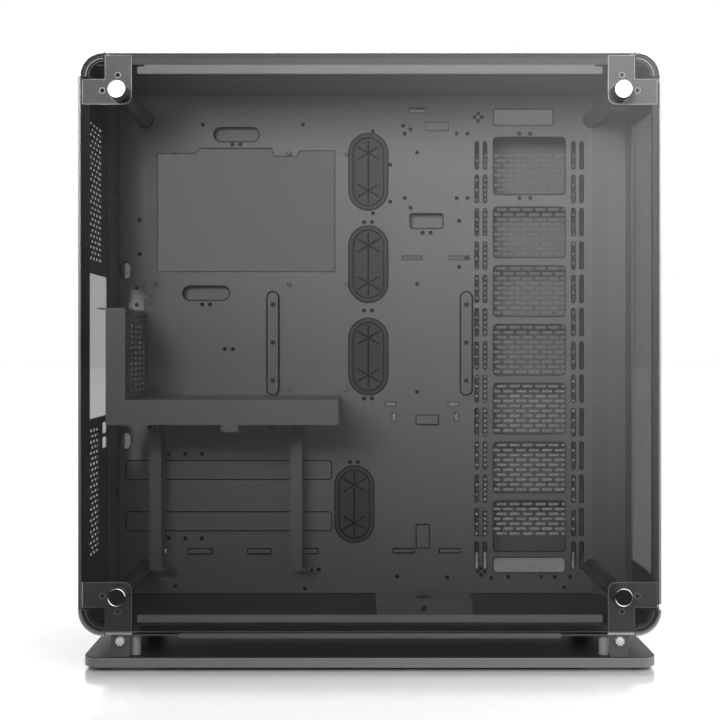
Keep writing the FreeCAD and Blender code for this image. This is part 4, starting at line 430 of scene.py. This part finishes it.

# %% [markdown]
# The edge of a toughened pane is ground matt, so it doesn't let us look in. A faint painted glow on it
# stands in for the light it gathers from the whole pane, so it shows as a pale line, which draws the
# outline of the object. A pane rests on thin pads, so its inner face is moved a tenth of a millimetre
# off the metal. Without that, the two faces would lie in one plane and flicker in the render.

# %% Ground glass edge
glowing_pane_edge = coated("ground_glass_edge_painted_glow", (0.06, 0.061, 0.061), 0.45, grain_scale=2500.0, depth=0.000005)
painted_glow_edge = glowing_pane_edge.node_tree.nodes["Principled BSDF"]
# The emission is a painted glow: the ground edge is no lamp.
painted_glow_edge.inputs["Emission Color"].default_value = (1, 1, 1, 1)
painted_glow_edge.inputs["Emission Strength"].default_value = 0.12
pane_gap = 0.0001


def pane(node, through, inward):
    """A copy of a CAD pane, thin along one axis, with ground narrow faces and room at its inner face."""
    piece = merged_copy(node, node + "_pane")
    bpy.ops.mesh.customdata_custom_splitnormals_clear()
    bpy.ops.object.shade_flat()
    edit_faces(piece, lambda face: face.normal[through] * inward > 0.5)
    room = [0, 0, 0]
    room[through] = -pane_gap * inward
    bpy.ops.transform.translate(value=room)
    bpy.ops.object.mode_set(mode="OBJECT")
    piece.data.materials.clear()
    piece.data.materials.append(glass)
    piece.data.materials.append(glowing_pane_edge)
    edge_faces = [face for face in piece.data.polygons if abs(face.normal[through]) < 0.5]
    for face in edge_faces:
        face.material_index = 1
    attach(piece, "root")
    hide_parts(node)
    return len(edge_faces)


pane_sides = {"glass_near": (1, 1), "glass_far": (1, -1), "glass_top": (2, -1), "glass_front": (0, -1)}
for node, (through, inward) in pane_sides.items():
    print(node, "ground faces:", pane(node, through, inward))

# %% [markdown]
# ## Parts that keep their CAD shape
#
# Folded sheets, gussets and covers are exact as they come from the CAD model, so they only get their
# finish. Rails, round posts, rubber parts and small hardware are copied, their loose triangles are
# merged, and a Bevel modifier rounds the edges that turn sharply, because no real edge is quite
# sharp, and the rounded one is what catches the light.

# %% Rounded parts and plain sheets
slots = {part["node"]: part["material_slot"] for part in frame["record"]["subparts"]}
edge_round = {"post_steel": 0.0008, "rail_steel": 0.0005, "foot_rubber": 0.001, "grommet_rubber": 0.0003,
              "filter_plastic": 0.0004, "screw_steel": 0.0002, "base_gloss": 0.0006}
own_finish = {"cable_strip_rear": "strip_steel", "cable_strip_front": "strip_steel",
              # The skirt, the bottom panel and the clamps get the darker coat, which is painted shade.
              "skirt_plate": "painted_shade_steel", "bottom_panel": "painted_shade_steel",
              "clamp_near_rear": "painted_shade_steel", "clamp_near_front": "painted_shade_steel",
              "clamp_far_rear": "painted_shade_steel", "clamp_far_front": "painted_shade_steel",
              # The bottom rails take the lighter rail coat, which is painted light.
              "bottom_rail_near": "rail_painted_light", "bottom_rail_far": "rail_painted_light"}


def fit(piece, slot, *nodes, finish=None, smooth=None):
    """Gives a piece its finish, the slot's own unless another is named, and puts it in the place of its
    CAD parts.
    """
    piece.data.materials.clear()
    piece.data.materials.append(finishes[finish or slot])
    if smooth:
        pick_only(piece)
        bpy.ops.object.shade_smooth_by_angle(angle=math.radians(smooth))
    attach(piece, "root")
    if nodes:
        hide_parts(*nodes)
    return piece


def dress(node):
    """A copy of a CAD part with merged faces and rounded edges, in its finish."""
    piece = merged_copy(node, node + "_dressed")
    bevel = piece.modifiers.new("edge round", "BEVEL")
    bevel.width = edge_round[slots[node]]
    bevel.segments = 2
    bevel.limit_method = "ANGLE"
    bevel.angle_limit = math.radians(40)
    apply_all(piece)
    return fit(piece, slots[node], node, finish=own_finish.get(node), smooth=20)


turned_nodes = ["gusset_screws", "panel_screws", "standoffs", "knobs_near", "knobs_far",
                "knob_caps_near", "knob_caps_far"]
remade_nodes = turned_nodes + ["base_plate", "rear_panel", "fan_grille", "card_bracket",
                               "glass_near", "glass_far", "glass_top", "glass_front"]
total = 0
for node in sorted(slots):
    for material_slot in bpy.data.objects[node].material_slots:
        material_slot.material = finishes[own_finish.get(node, slots[node])]
    if slots[node] in edge_round and node not in remade_nodes:
        total += triangles(dress(node))
print("rounded parts:", total, "triangles")

# %% [markdown]
# The base plate is gloss black on top, and its cut edge is painted a shade lighter, which is painted
# light on its lit front, so the plate reads as a solid slab. Its bevelled copy has a second material slot
# for the faces that stand upright.

# %% The base plate
plate = dress("base_plate")
# The upright faces take the lighter coat, which is painted light.
plate.data.materials.append(finishes["base_edge"])
upright = [face for face in plate.data.polygons if abs(face.normal.z) < 0.5]
for face in upright:
    face.material_index = 1
print("base plate upright faces:", len(upright))

# %% [markdown]
# ## Perforated sheets
#
# The rear wall and the fan grille are full of short slots, laid like bricks: every second row is
# moved along by half a slot. An image could fake them, but they are seen against bright light, so
# they are real holes here. A grid has one cell for each bar and three for each slot. The slots'
# faces are deleted, and a Solidify modifier gives the sheet its thickness. The field is let into a
# clean hole that Bisect cuts in the CAD sheet, so the outline and folds stay as they are.

# %% Fields of slots
cell, row, sheet = 0.00395, 0.003, 0.0012


def slot_field(name, across, up, cells, rows, depth, faces_x, cell=cell, staggered=True):
    """A field of slots, from its lower corner, on a plane that faces along X or against Y."""
    wide, tall = cells * cell, rows * row
    pick_only()
    bpy.ops.mesh.primitive_grid_add(x_subdivisions=cells, y_subdivisions=rows, size=1)
    piece = bpy.context.object
    piece.name = name
    piece.scale = (wide, tall, 1)
    bpy.ops.object.transform_apply(location=True, rotation=True, scale=True)

    def in_slot(face):
        column = int((face.center.x + wide / 2) / cell)
        line = int((face.center.y + tall / 2) / row)
        if not staggered:
            return line % 2 == 1 and column % 4 in (1, 2)
        return line % 2 == 1 and (column + line) % 4 != 0

    cut = edit_faces(piece, in_slot)
    bpy.ops.mesh.delete(type="FACE")
    bpy.ops.object.mode_set(mode="OBJECT")
    quarter = math.pi / 2
    piece.rotation_euler = (quarter, 0, quarter if faces_x else 0)
    middle = (across + wide / 2, up + tall / 2)
    piece.location = (depth, middle[0], middle[1]) if faces_x else (middle[0], depth, middle[1])
    thick = piece.modifiers.new("sheet", "SOLIDIFY")
    thick.thickness = sheet
    thick.offset = -1
    apply_all(piece)
    print(name, "cells cut:", cut, "triangles:", triangles(piece))
    return piece


def let_in(piece, low, high, thin):
    """Cuts a clean hole through a sheet, between two corners, with planes that cross its thin axis."""
    for axis in range(3):
        if axis == thin:
            continue
        for place in (low[axis], high[axis]):
            edit_faces(piece, lambda face: True)
            spot = [place if index == axis else 0 for index in range(3)]
            normal = [int(index == axis) for index in range(3)]
            bpy.ops.mesh.bisect(plane_co=spot, plane_no=normal)
    edit_faces(piece, lambda face: all(low[k] < face.center[k] < high[k] for k in range(3)))
    bpy.ops.mesh.delete(type="FACE")
    bpy.ops.object.mode_set(mode="OBJECT")


# %% [markdown]
# The rear wall's narrow outer flanges lie outside the side panes, in the full light, and their darker
# coat is painted shade, so they don't outshine the rest. Its two fields lie above and below the card
# cut-out.

# %% The rear wall
wall_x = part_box("rear_panel")[1][0]
outer_flange = 0.1045
rear_wall = merged_copy("rear_panel", "rear_wall")
rear_fields = []
for name, across, up, cells, rows in (("rear_field_upper", -0.1016, 0.436, 16, 51),
                                      ("rear_field_lower", -0.1016, 0.1185, 12, 47)):
    let_in(rear_wall, (wall_x - 2 * sheet, across, up),
           (wall_x + sheet, across + cells * cell, up + rows * row), 0)
    rear_fields.append(slot_field(name, across, up, cells, rows, wall_x, True))
rear_wall = join([rear_wall] + rear_fields, "rear_wall")
fit(rear_wall, "steel", "rear_panel")
# The outer flanges get the darker coat as painted shade.
rear_wall.data.materials.append(finishes["painted_shade_steel"])
for face in rear_wall.data.polygons:
    if abs(face.center.y) > outer_flange:
        face.material_index = 1
print("rear wall:", triangles(rear_wall), "triangles")

# %% [markdown]
# The fan grille is one tall field behind the tray's windows, centred on its sheet.

# %% The fan grille
grille_low, grille_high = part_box("fan_grille")
grille = merged_copy("fan_grille", "grille")
cells, rows = 33, 157
across = (grille_low[0] + grille_high[0] - cells * cell) / 2
up = (grille_low[2] + grille_high[2] - rows * row) / 2
front_y = grille_high[1] - sheet
let_in(grille, (across, front_y - sheet, up),
       (across + cells * cell, front_y + 2 * sheet, up + rows * row), 1)
grille = join([grille, slot_field("grille_field", across, up, cells, rows, front_y, False)], "grille")
fit(grille, "tray_steel", "fan_grille", finish="grille_steel")
print("grille:", triangles(grille), "triangles")

# %% [markdown]
# The card bracket's upright wall has coarser slots in straight rows. Its field takes the place of
# the CAD model's slots, between the shelf and the cap.

# %% The card bracket
card_low, card_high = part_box("card_bracket")
card_face = -0.264
card_cell, cells, rows = 0.0066, 20, 31
across, up = card_low[1] + 0.004, card_high[2] - 0.0022 - rows * row
bracket = merged_copy("card_bracket", "bracket")
let_in(bracket, (card_face - 2 * sheet, across, up),
       (card_face + sheet, across + cells * card_cell, up + rows * row), 0)
wall = slot_field("card_field", across, up, cells, rows, card_face, True, card_cell, staggered=False)
bracket = join([bracket, wall], "bracket")
fit(bracket, "tray_steel", "card_bracket")
print("card bracket:", triangles(bracket), "triangles")

# %% [markdown]
# ## Rims of the openings
#
# Round each opening of the tray a dark wire is painted shade, for the shadow in the edge of the sheet,
# and on the outlines of gussets and covers a pale wire is a painted highlight, where the edges catch
# the light. A wire of about a millimetre along each edge gives both, and a dark one, also painted
# shade, closes the slits of the grommets. The edges are picked by their angle on a merged copy,
# separated, and turned into a curve with a round section, which follows every slot and window exactly.


# %% Rims
def rims_of(node, name, radius, wanted):
    """Round wires along the wanted edges of a sheet, where two faces meet at a sharp angle."""
    model = merged_copy(node, name + "_model")
    pick_only(model)
    bpy.ops.object.mode_set(mode="EDIT")
    bpy.ops.mesh.select_mode(type="EDGE")
    bpy.ops.mesh.select_all(action="DESELECT")
    bpy.ops.object.mode_set(mode="OBJECT")
    points = model.data.vertices
    meeting = {}
    for face in model.data.polygons:
        for pair in face.edge_keys:
            meeting.setdefault(pair, []).append(face.normal)
    sharp = []
    for edge in model.data.edges:
        normals = meeting.get(edge.key, [])
        if len(normals) == 2 and normals[0].dot(normals[1]) < 0.5:
            if wanted(points[edge.vertices[0]].co, points[edge.vertices[1]].co):
                sharp.append(edge)
    for group in (points, model.data.edges, model.data.polygons):
        for item in group:
            item.select = False
    for edge in sharp:
        edge.select = True
        for index in edge.vertices:
            points[index].select = True
    bpy.ops.object.mode_set(mode="EDIT")
    bpy.ops.mesh.duplicate()
    bpy.ops.mesh.separate(type="SELECTED")
    bpy.ops.object.mode_set(mode="OBJECT")
    rims = [thing for thing in bpy.context.selected_objects if thing != model][0]
    bpy.data.objects.remove(model)
    pick_only(rims)
    rims.name = name
    bpy.ops.object.convert(target="CURVE")
    rims.data.bevel_depth = radius
    rims.data.bevel_resolution = 0
    bpy.ops.object.convert(target="MESH")
    rims = bpy.context.object
    print(name, "edges:", len(sharp), "triangles:", triangles(rims))
    return rims


shade_line_wire, strip_wire, highlight_wire = 0.0006, 0.0009, 0.0004
loop_height, face_only, slit_depth = 0.0045, 0.0002, 0.0052
tray_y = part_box("standoffs")[1][1]
near_faces = (tray_y - loop_height, tray_y + 0.0001)
# The dark wires round the tray's openings are painted shade: the shadow in the edge of the sheet.
tray_rims = rims_of("motherboard_tray", "tray_rims", shade_line_wire,
                    lambda a, b: all(near_faces[0] < end.y < near_faces[1] for end in (a, b)))
fit(tray_rims, "tray_steel", finish="painted_shade_line")
# The dark wires round the cable strips and in the grommets' slits are painted shade in the gaps and slits.
rimmed = {"cable_strip_rear": (strip_wire, face_only), "cable_strip_front": (strip_wire, face_only)}
for number in (1, 2, 3, 4):
    rimmed["grommet_" + str(number)] = (shade_line_wire, slit_depth)
for node, (radius, depth) in rimmed.items():
    face_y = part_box(node)[0][1]
    rims = rims_of(node, node + "_rim", radius,
                   lambda a, b: max(abs(a.y - face_y), abs(b.y - face_y)) < depth)
    fit(rims, "grommet_rubber", finish="painted_shade_line")
# The pump bracket's pale outline wire is a painted highlight.
pump_rims = rims_of("pump_bracket", "pump_bracket_rim", highlight_wire, lambda a, b: True)
fit(pump_rims, "tray_steel", finish="edge_highlight_steel")
# The pale outline wires along the front edges of gussets and covers are a painted highlight.
outlines = []
for node in sorted(slots):
    if slots[node] in ("gusset_steel", "cover_plastic"):
        low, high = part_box(node)
        outer = low[1] if low[1] < 0 else high[1]
        outlines.append(rims_of(node, node + "_outline", highlight_wire, lambda a, b: all(
            abs(end.y - outer) < 0.0003 and abs(end.x) < 0.3098 and end.z < 0.6598 for end in (a, b))))
fit(join(outlines, "gusset_outlines"), "gusset_steel", finish="edge_highlight_steel")

# %% [markdown]
# ## Turned pieces
#
# Knobs, caps, screws and standoffs are all turned, so one method makes them all: a single point is
# drawn out along the piece's profile with Extrude, and Spin carries the profile round the axis. The
# copies are then placed by the solids of the CAD part that they stand for, one for each solid.


# %% A turned piece
def turned(name, profile, steps=32):
    """A round piece about the Z axis, from points of its profile: the radius and the height, in mm."""
    pick_only()
    bpy.ops.mesh.primitive_plane_add(size=0.001)
    piece = bpy.context.object
    piece.name = name
    bpy.ops.object.mode_set(mode="EDIT")
    bpy.ops.mesh.select_mode(type="VERT")
    bpy.ops.mesh.select_all(action="SELECT")
    bpy.ops.mesh.merge(type="CENTER")
    bpy.ops.transform.translate(value=(profile[0][0] / 1000, 0, profile[0][1] / 1000))
    for before, after in zip(profile, profile[1:]):
        step = ((after[0] - before[0]) / 1000, 0, (after[1] - before[1]) / 1000)
        bpy.ops.mesh.extrude_region_move(TRANSFORM_OT_translate={"value": step})
    bpy.ops.mesh.select_all(action="SELECT")
    bpy.ops.mesh.spin(steps=steps, angle=2 * math.pi, center=(0, 0, 0), axis=(0, 0, 1))
    bpy.ops.mesh.select_all(action="SELECT")
    bpy.ops.mesh.remove_doubles(threshold=0.00001)
    bpy.ops.mesh.normals_make_consistent(inside=False)
    bpy.ops.object.mode_set(mode="OBJECT")
    return piece


def socket_sides(piece, radius, sides, waist):
    """Gives the ring of points at one radius flat sides, or the waists of a cross."""
    for point in piece.data.vertices:
        if abs(math.hypot(point.co.x, point.co.y) - radius / 1000) < 0.00002:
            turn = math.atan2(point.co.y, point.co.x) % (2 * math.pi / sides)
            middle = abs(turn * sides / math.pi - 1)
            shrink = waist + (1 - waist) * middle
            point.co.x *= shrink
            point.co.y *= shrink


def loose_parts(piece):
    """Separates a mesh into its loose parts."""
    pick_only(piece)
    bpy.ops.object.mode_set(mode="EDIT")
    bpy.ops.mesh.select_all(action="SELECT")
    bpy.ops.mesh.separate(type="LOOSE")
    bpy.ops.object.mode_set(mode="OBJECT")
    return list(bpy.context.selected_objects)


def solid_boxes(node):
    """The lowest and highest corner of each separate solid of a CAD part."""
    boxes = []
    for part in loose_parts(merged_copy(node, node + "_model")):
        corners = [[point.co[axis] for point in part.data.vertices] for axis in range(3)]
        boxes.append(([min(values) for values in corners], [max(values) for values in corners]))
        bpy.data.objects.remove(part)
    return sorted(boxes)


TO_NEAR, TO_FAR, TO_FRONT = (math.pi / 2, 0, 0), (-math.pi / 2, 0, 0), (0, math.pi / 2, 0)


def set_out(master, name, spots):
    """Copies a turned piece to each spot, pointing its way, and joins the copies."""
    copies = []
    for place, turn in spots:
        twin = bpy.data.objects.new(name, master.data.copy())
        bpy.context.collection.objects.link(twin)
        twin.location = place
        twin.rotation_euler = turn
        pick_only(twin)
        bpy.ops.object.transform_apply(location=True, rotation=True, scale=True)
        copies.append(twin)
    bpy.data.objects.remove(master)
    piece = join(copies, name)
    print(name, "copies:", len(spots), "triangles:", triangles(piece))
    return piece


def seats(node, height):
    """Where each solid of a part is seated: on the side plane it stands on, that far from its end."""
    spots = []
    for low, high in solid_boxes(node):
        middle = [(a + b) / 2 for a, b in zip(low, high)]
        near = middle[1] < 0
        seat = low[1] + height if near else high[1] - height
        spots.append(((middle[0], seat, middle[2]), TO_NEAR if near else TO_FAR))
    return spots


# %% [markdown]
# The knob is turned from black metal, with a shallow groove near its end, and a stud behind it. Its
# cap is a bright disc with a raised rim, whose rounded edge draws the thin ring in the picture.

# %% Knobs and caps
knob_profile = [(0, -14), (4, -14), (4, 0), (9.3, 0), (9.8, 0.6), (9.8, 15.0), (9.4, 15.4), (9.4, 16.0),
                (9.8, 16.4), (9.8, 18.0), (9.5, 18.5), (0, 18.5)]
cap_profile = [(0, 18.5), (9.4, 18.5), (9.4, 19.4), (9.3, 19.8), (9.0, 20.0), (8.7, 19.9), (8.6, 19.7),
               (0, 19.7)]
knob_length, capped_length = 0.0185, 0.020
for side in ("near", "far"):
    spots = seats("knobs_" + side, knob_length)
    knobs = set_out(turned("knob", knob_profile, 48), "knobs_" + side + "_turned", spots)
    fit(knobs, "knob_metal", "knobs_" + side, smooth=30)
    spots = seats("knob_caps_" + side, capped_length)
    caps = set_out(turned("cap", cap_profile, 48), "knob_caps_" + side + "_turned", spots)
    fit(caps, "mirror_cap", "knob_caps_" + side, smooth=30)

# %% [markdown]
# The gusset screws lie flush and have a hexagonal socket. The screws on the tray have a low domed
# head with a cross. Both sockets start as a round well whose upper ring is drawn in between the
# corners.

# %% Screws and standoffs
flush_screw = turned("flush_screw", [(0, -3.2), (2.6, -3.2), (2.6, -0.3), (2.35, 0), (1.6, 0),
                                     (1.6, -1.4), (0, -1.6)], 24)
socket_sides(flush_screw, 1.6, 6, 0.87)
gusset_spots = seats("gusset_screws", 0)
fit(set_out(flush_screw, "gusset_screws_turned", gusset_spots), "screw_steel", "gusset_screws",
    finish="dark_screw", smooth=30)
dome_screw = turned("dome_screw", [(0, 0), (3.0, 0), (3.0, 0.7), (2.7, 1.3), (2.1, 1.65), (1.5, 1.8),
                                   (1.45, 0.9), (0, 0.7)], 24)
socket_sides(dome_screw, 1.5, 4, 0.45)
socket_sides(dome_screw, 1.45, 4, 0.45)
dome_spots = []
head_height = 0.0025
for low, high in solid_boxes("panel_screws"):
    middle = [(a + b) / 2 for a, b in zip(low, high)]
    if high[0] - low[0] < head_height:
        dome_spots.append(((low[0], middle[1], middle[2]), TO_FRONT))
    else:
        dome_spots.append(((middle[0], high[1], middle[2]), TO_NEAR))
fit(set_out(dome_screw, "panel_screws_turned", dome_spots), "screw_steel", "panel_screws",
    finish="dark_screw", smooth=30)
pillar = turned("pillar", [(0, 0), (3.0, 0), (3.0, 6.1), (2.6, 6.5), (1.5, 6.5), (1.5, 1.0), (0, 1.0)], 24)
socket_sides(pillar, 3.0, 6, 0.87)
pillar_spots = [(((low[0] + high[0]) / 2, high[1], (low[2] + high[2]) / 2), TO_NEAR)
                for low, high in solid_boxes("standoffs")]
fit(set_out(pillar, "standoffs_turned", pillar_spots), "screw_steel", "standoffs", smooth=30)

# %% [markdown]
# Black press nuts sit in the tray's small round holes, with a thin flange in front and a collar
# behind. Their black is painted shade, so the holes look dark although the space behind the tray is
# light. Their places are read from the tray: the walls of its holes are separated from a copy, and
# each small ring gives a centre.

# %% Press nuts
model = merged_copy("motherboard_tray", "hole_model")
edit_faces(model, lambda face: abs(face.normal.y) < 0.1 and tray_y < face.center.y < tray_y + sheet)
bpy.ops.mesh.separate(type="SELECTED")
bpy.ops.object.mode_set(mode="OBJECT")
walls = [thing for thing in bpy.context.selected_objects if thing != model][0]
bpy.data.objects.remove(model)
nut_spots = []
widest_hole = 0.0035
for ring in loose_parts(walls):
    across = [point.co.x for point in ring.data.vertices]
    up = [point.co.z for point in ring.data.vertices]
    if max(max(across) - min(across), max(up) - min(up)) < widest_hole:
        middle = ((max(across) + min(across)) / 2, tray_y + sheet, (max(up) + min(up)) / 2)
        nut_spots.append((middle, TO_FAR))
    bpy.data.objects.remove(ring)
nut = turned("nut", [(1.2, -1.45), (2.5, -1.45), (2.5, -1.2), (1.4, -1.2), (1.4, 0), (2.8, 0),
                     (2.8, 1.6), (0, 1.6), (0, 0.4), (1.2, 0.4), (1.2, -1.45)], 12)
# The nuts take the near-black painted shade of the dark wires.
fit(set_out(nut, "press_nuts", nut_spots), "steel", finish="painted_shade_line", smooth=30)
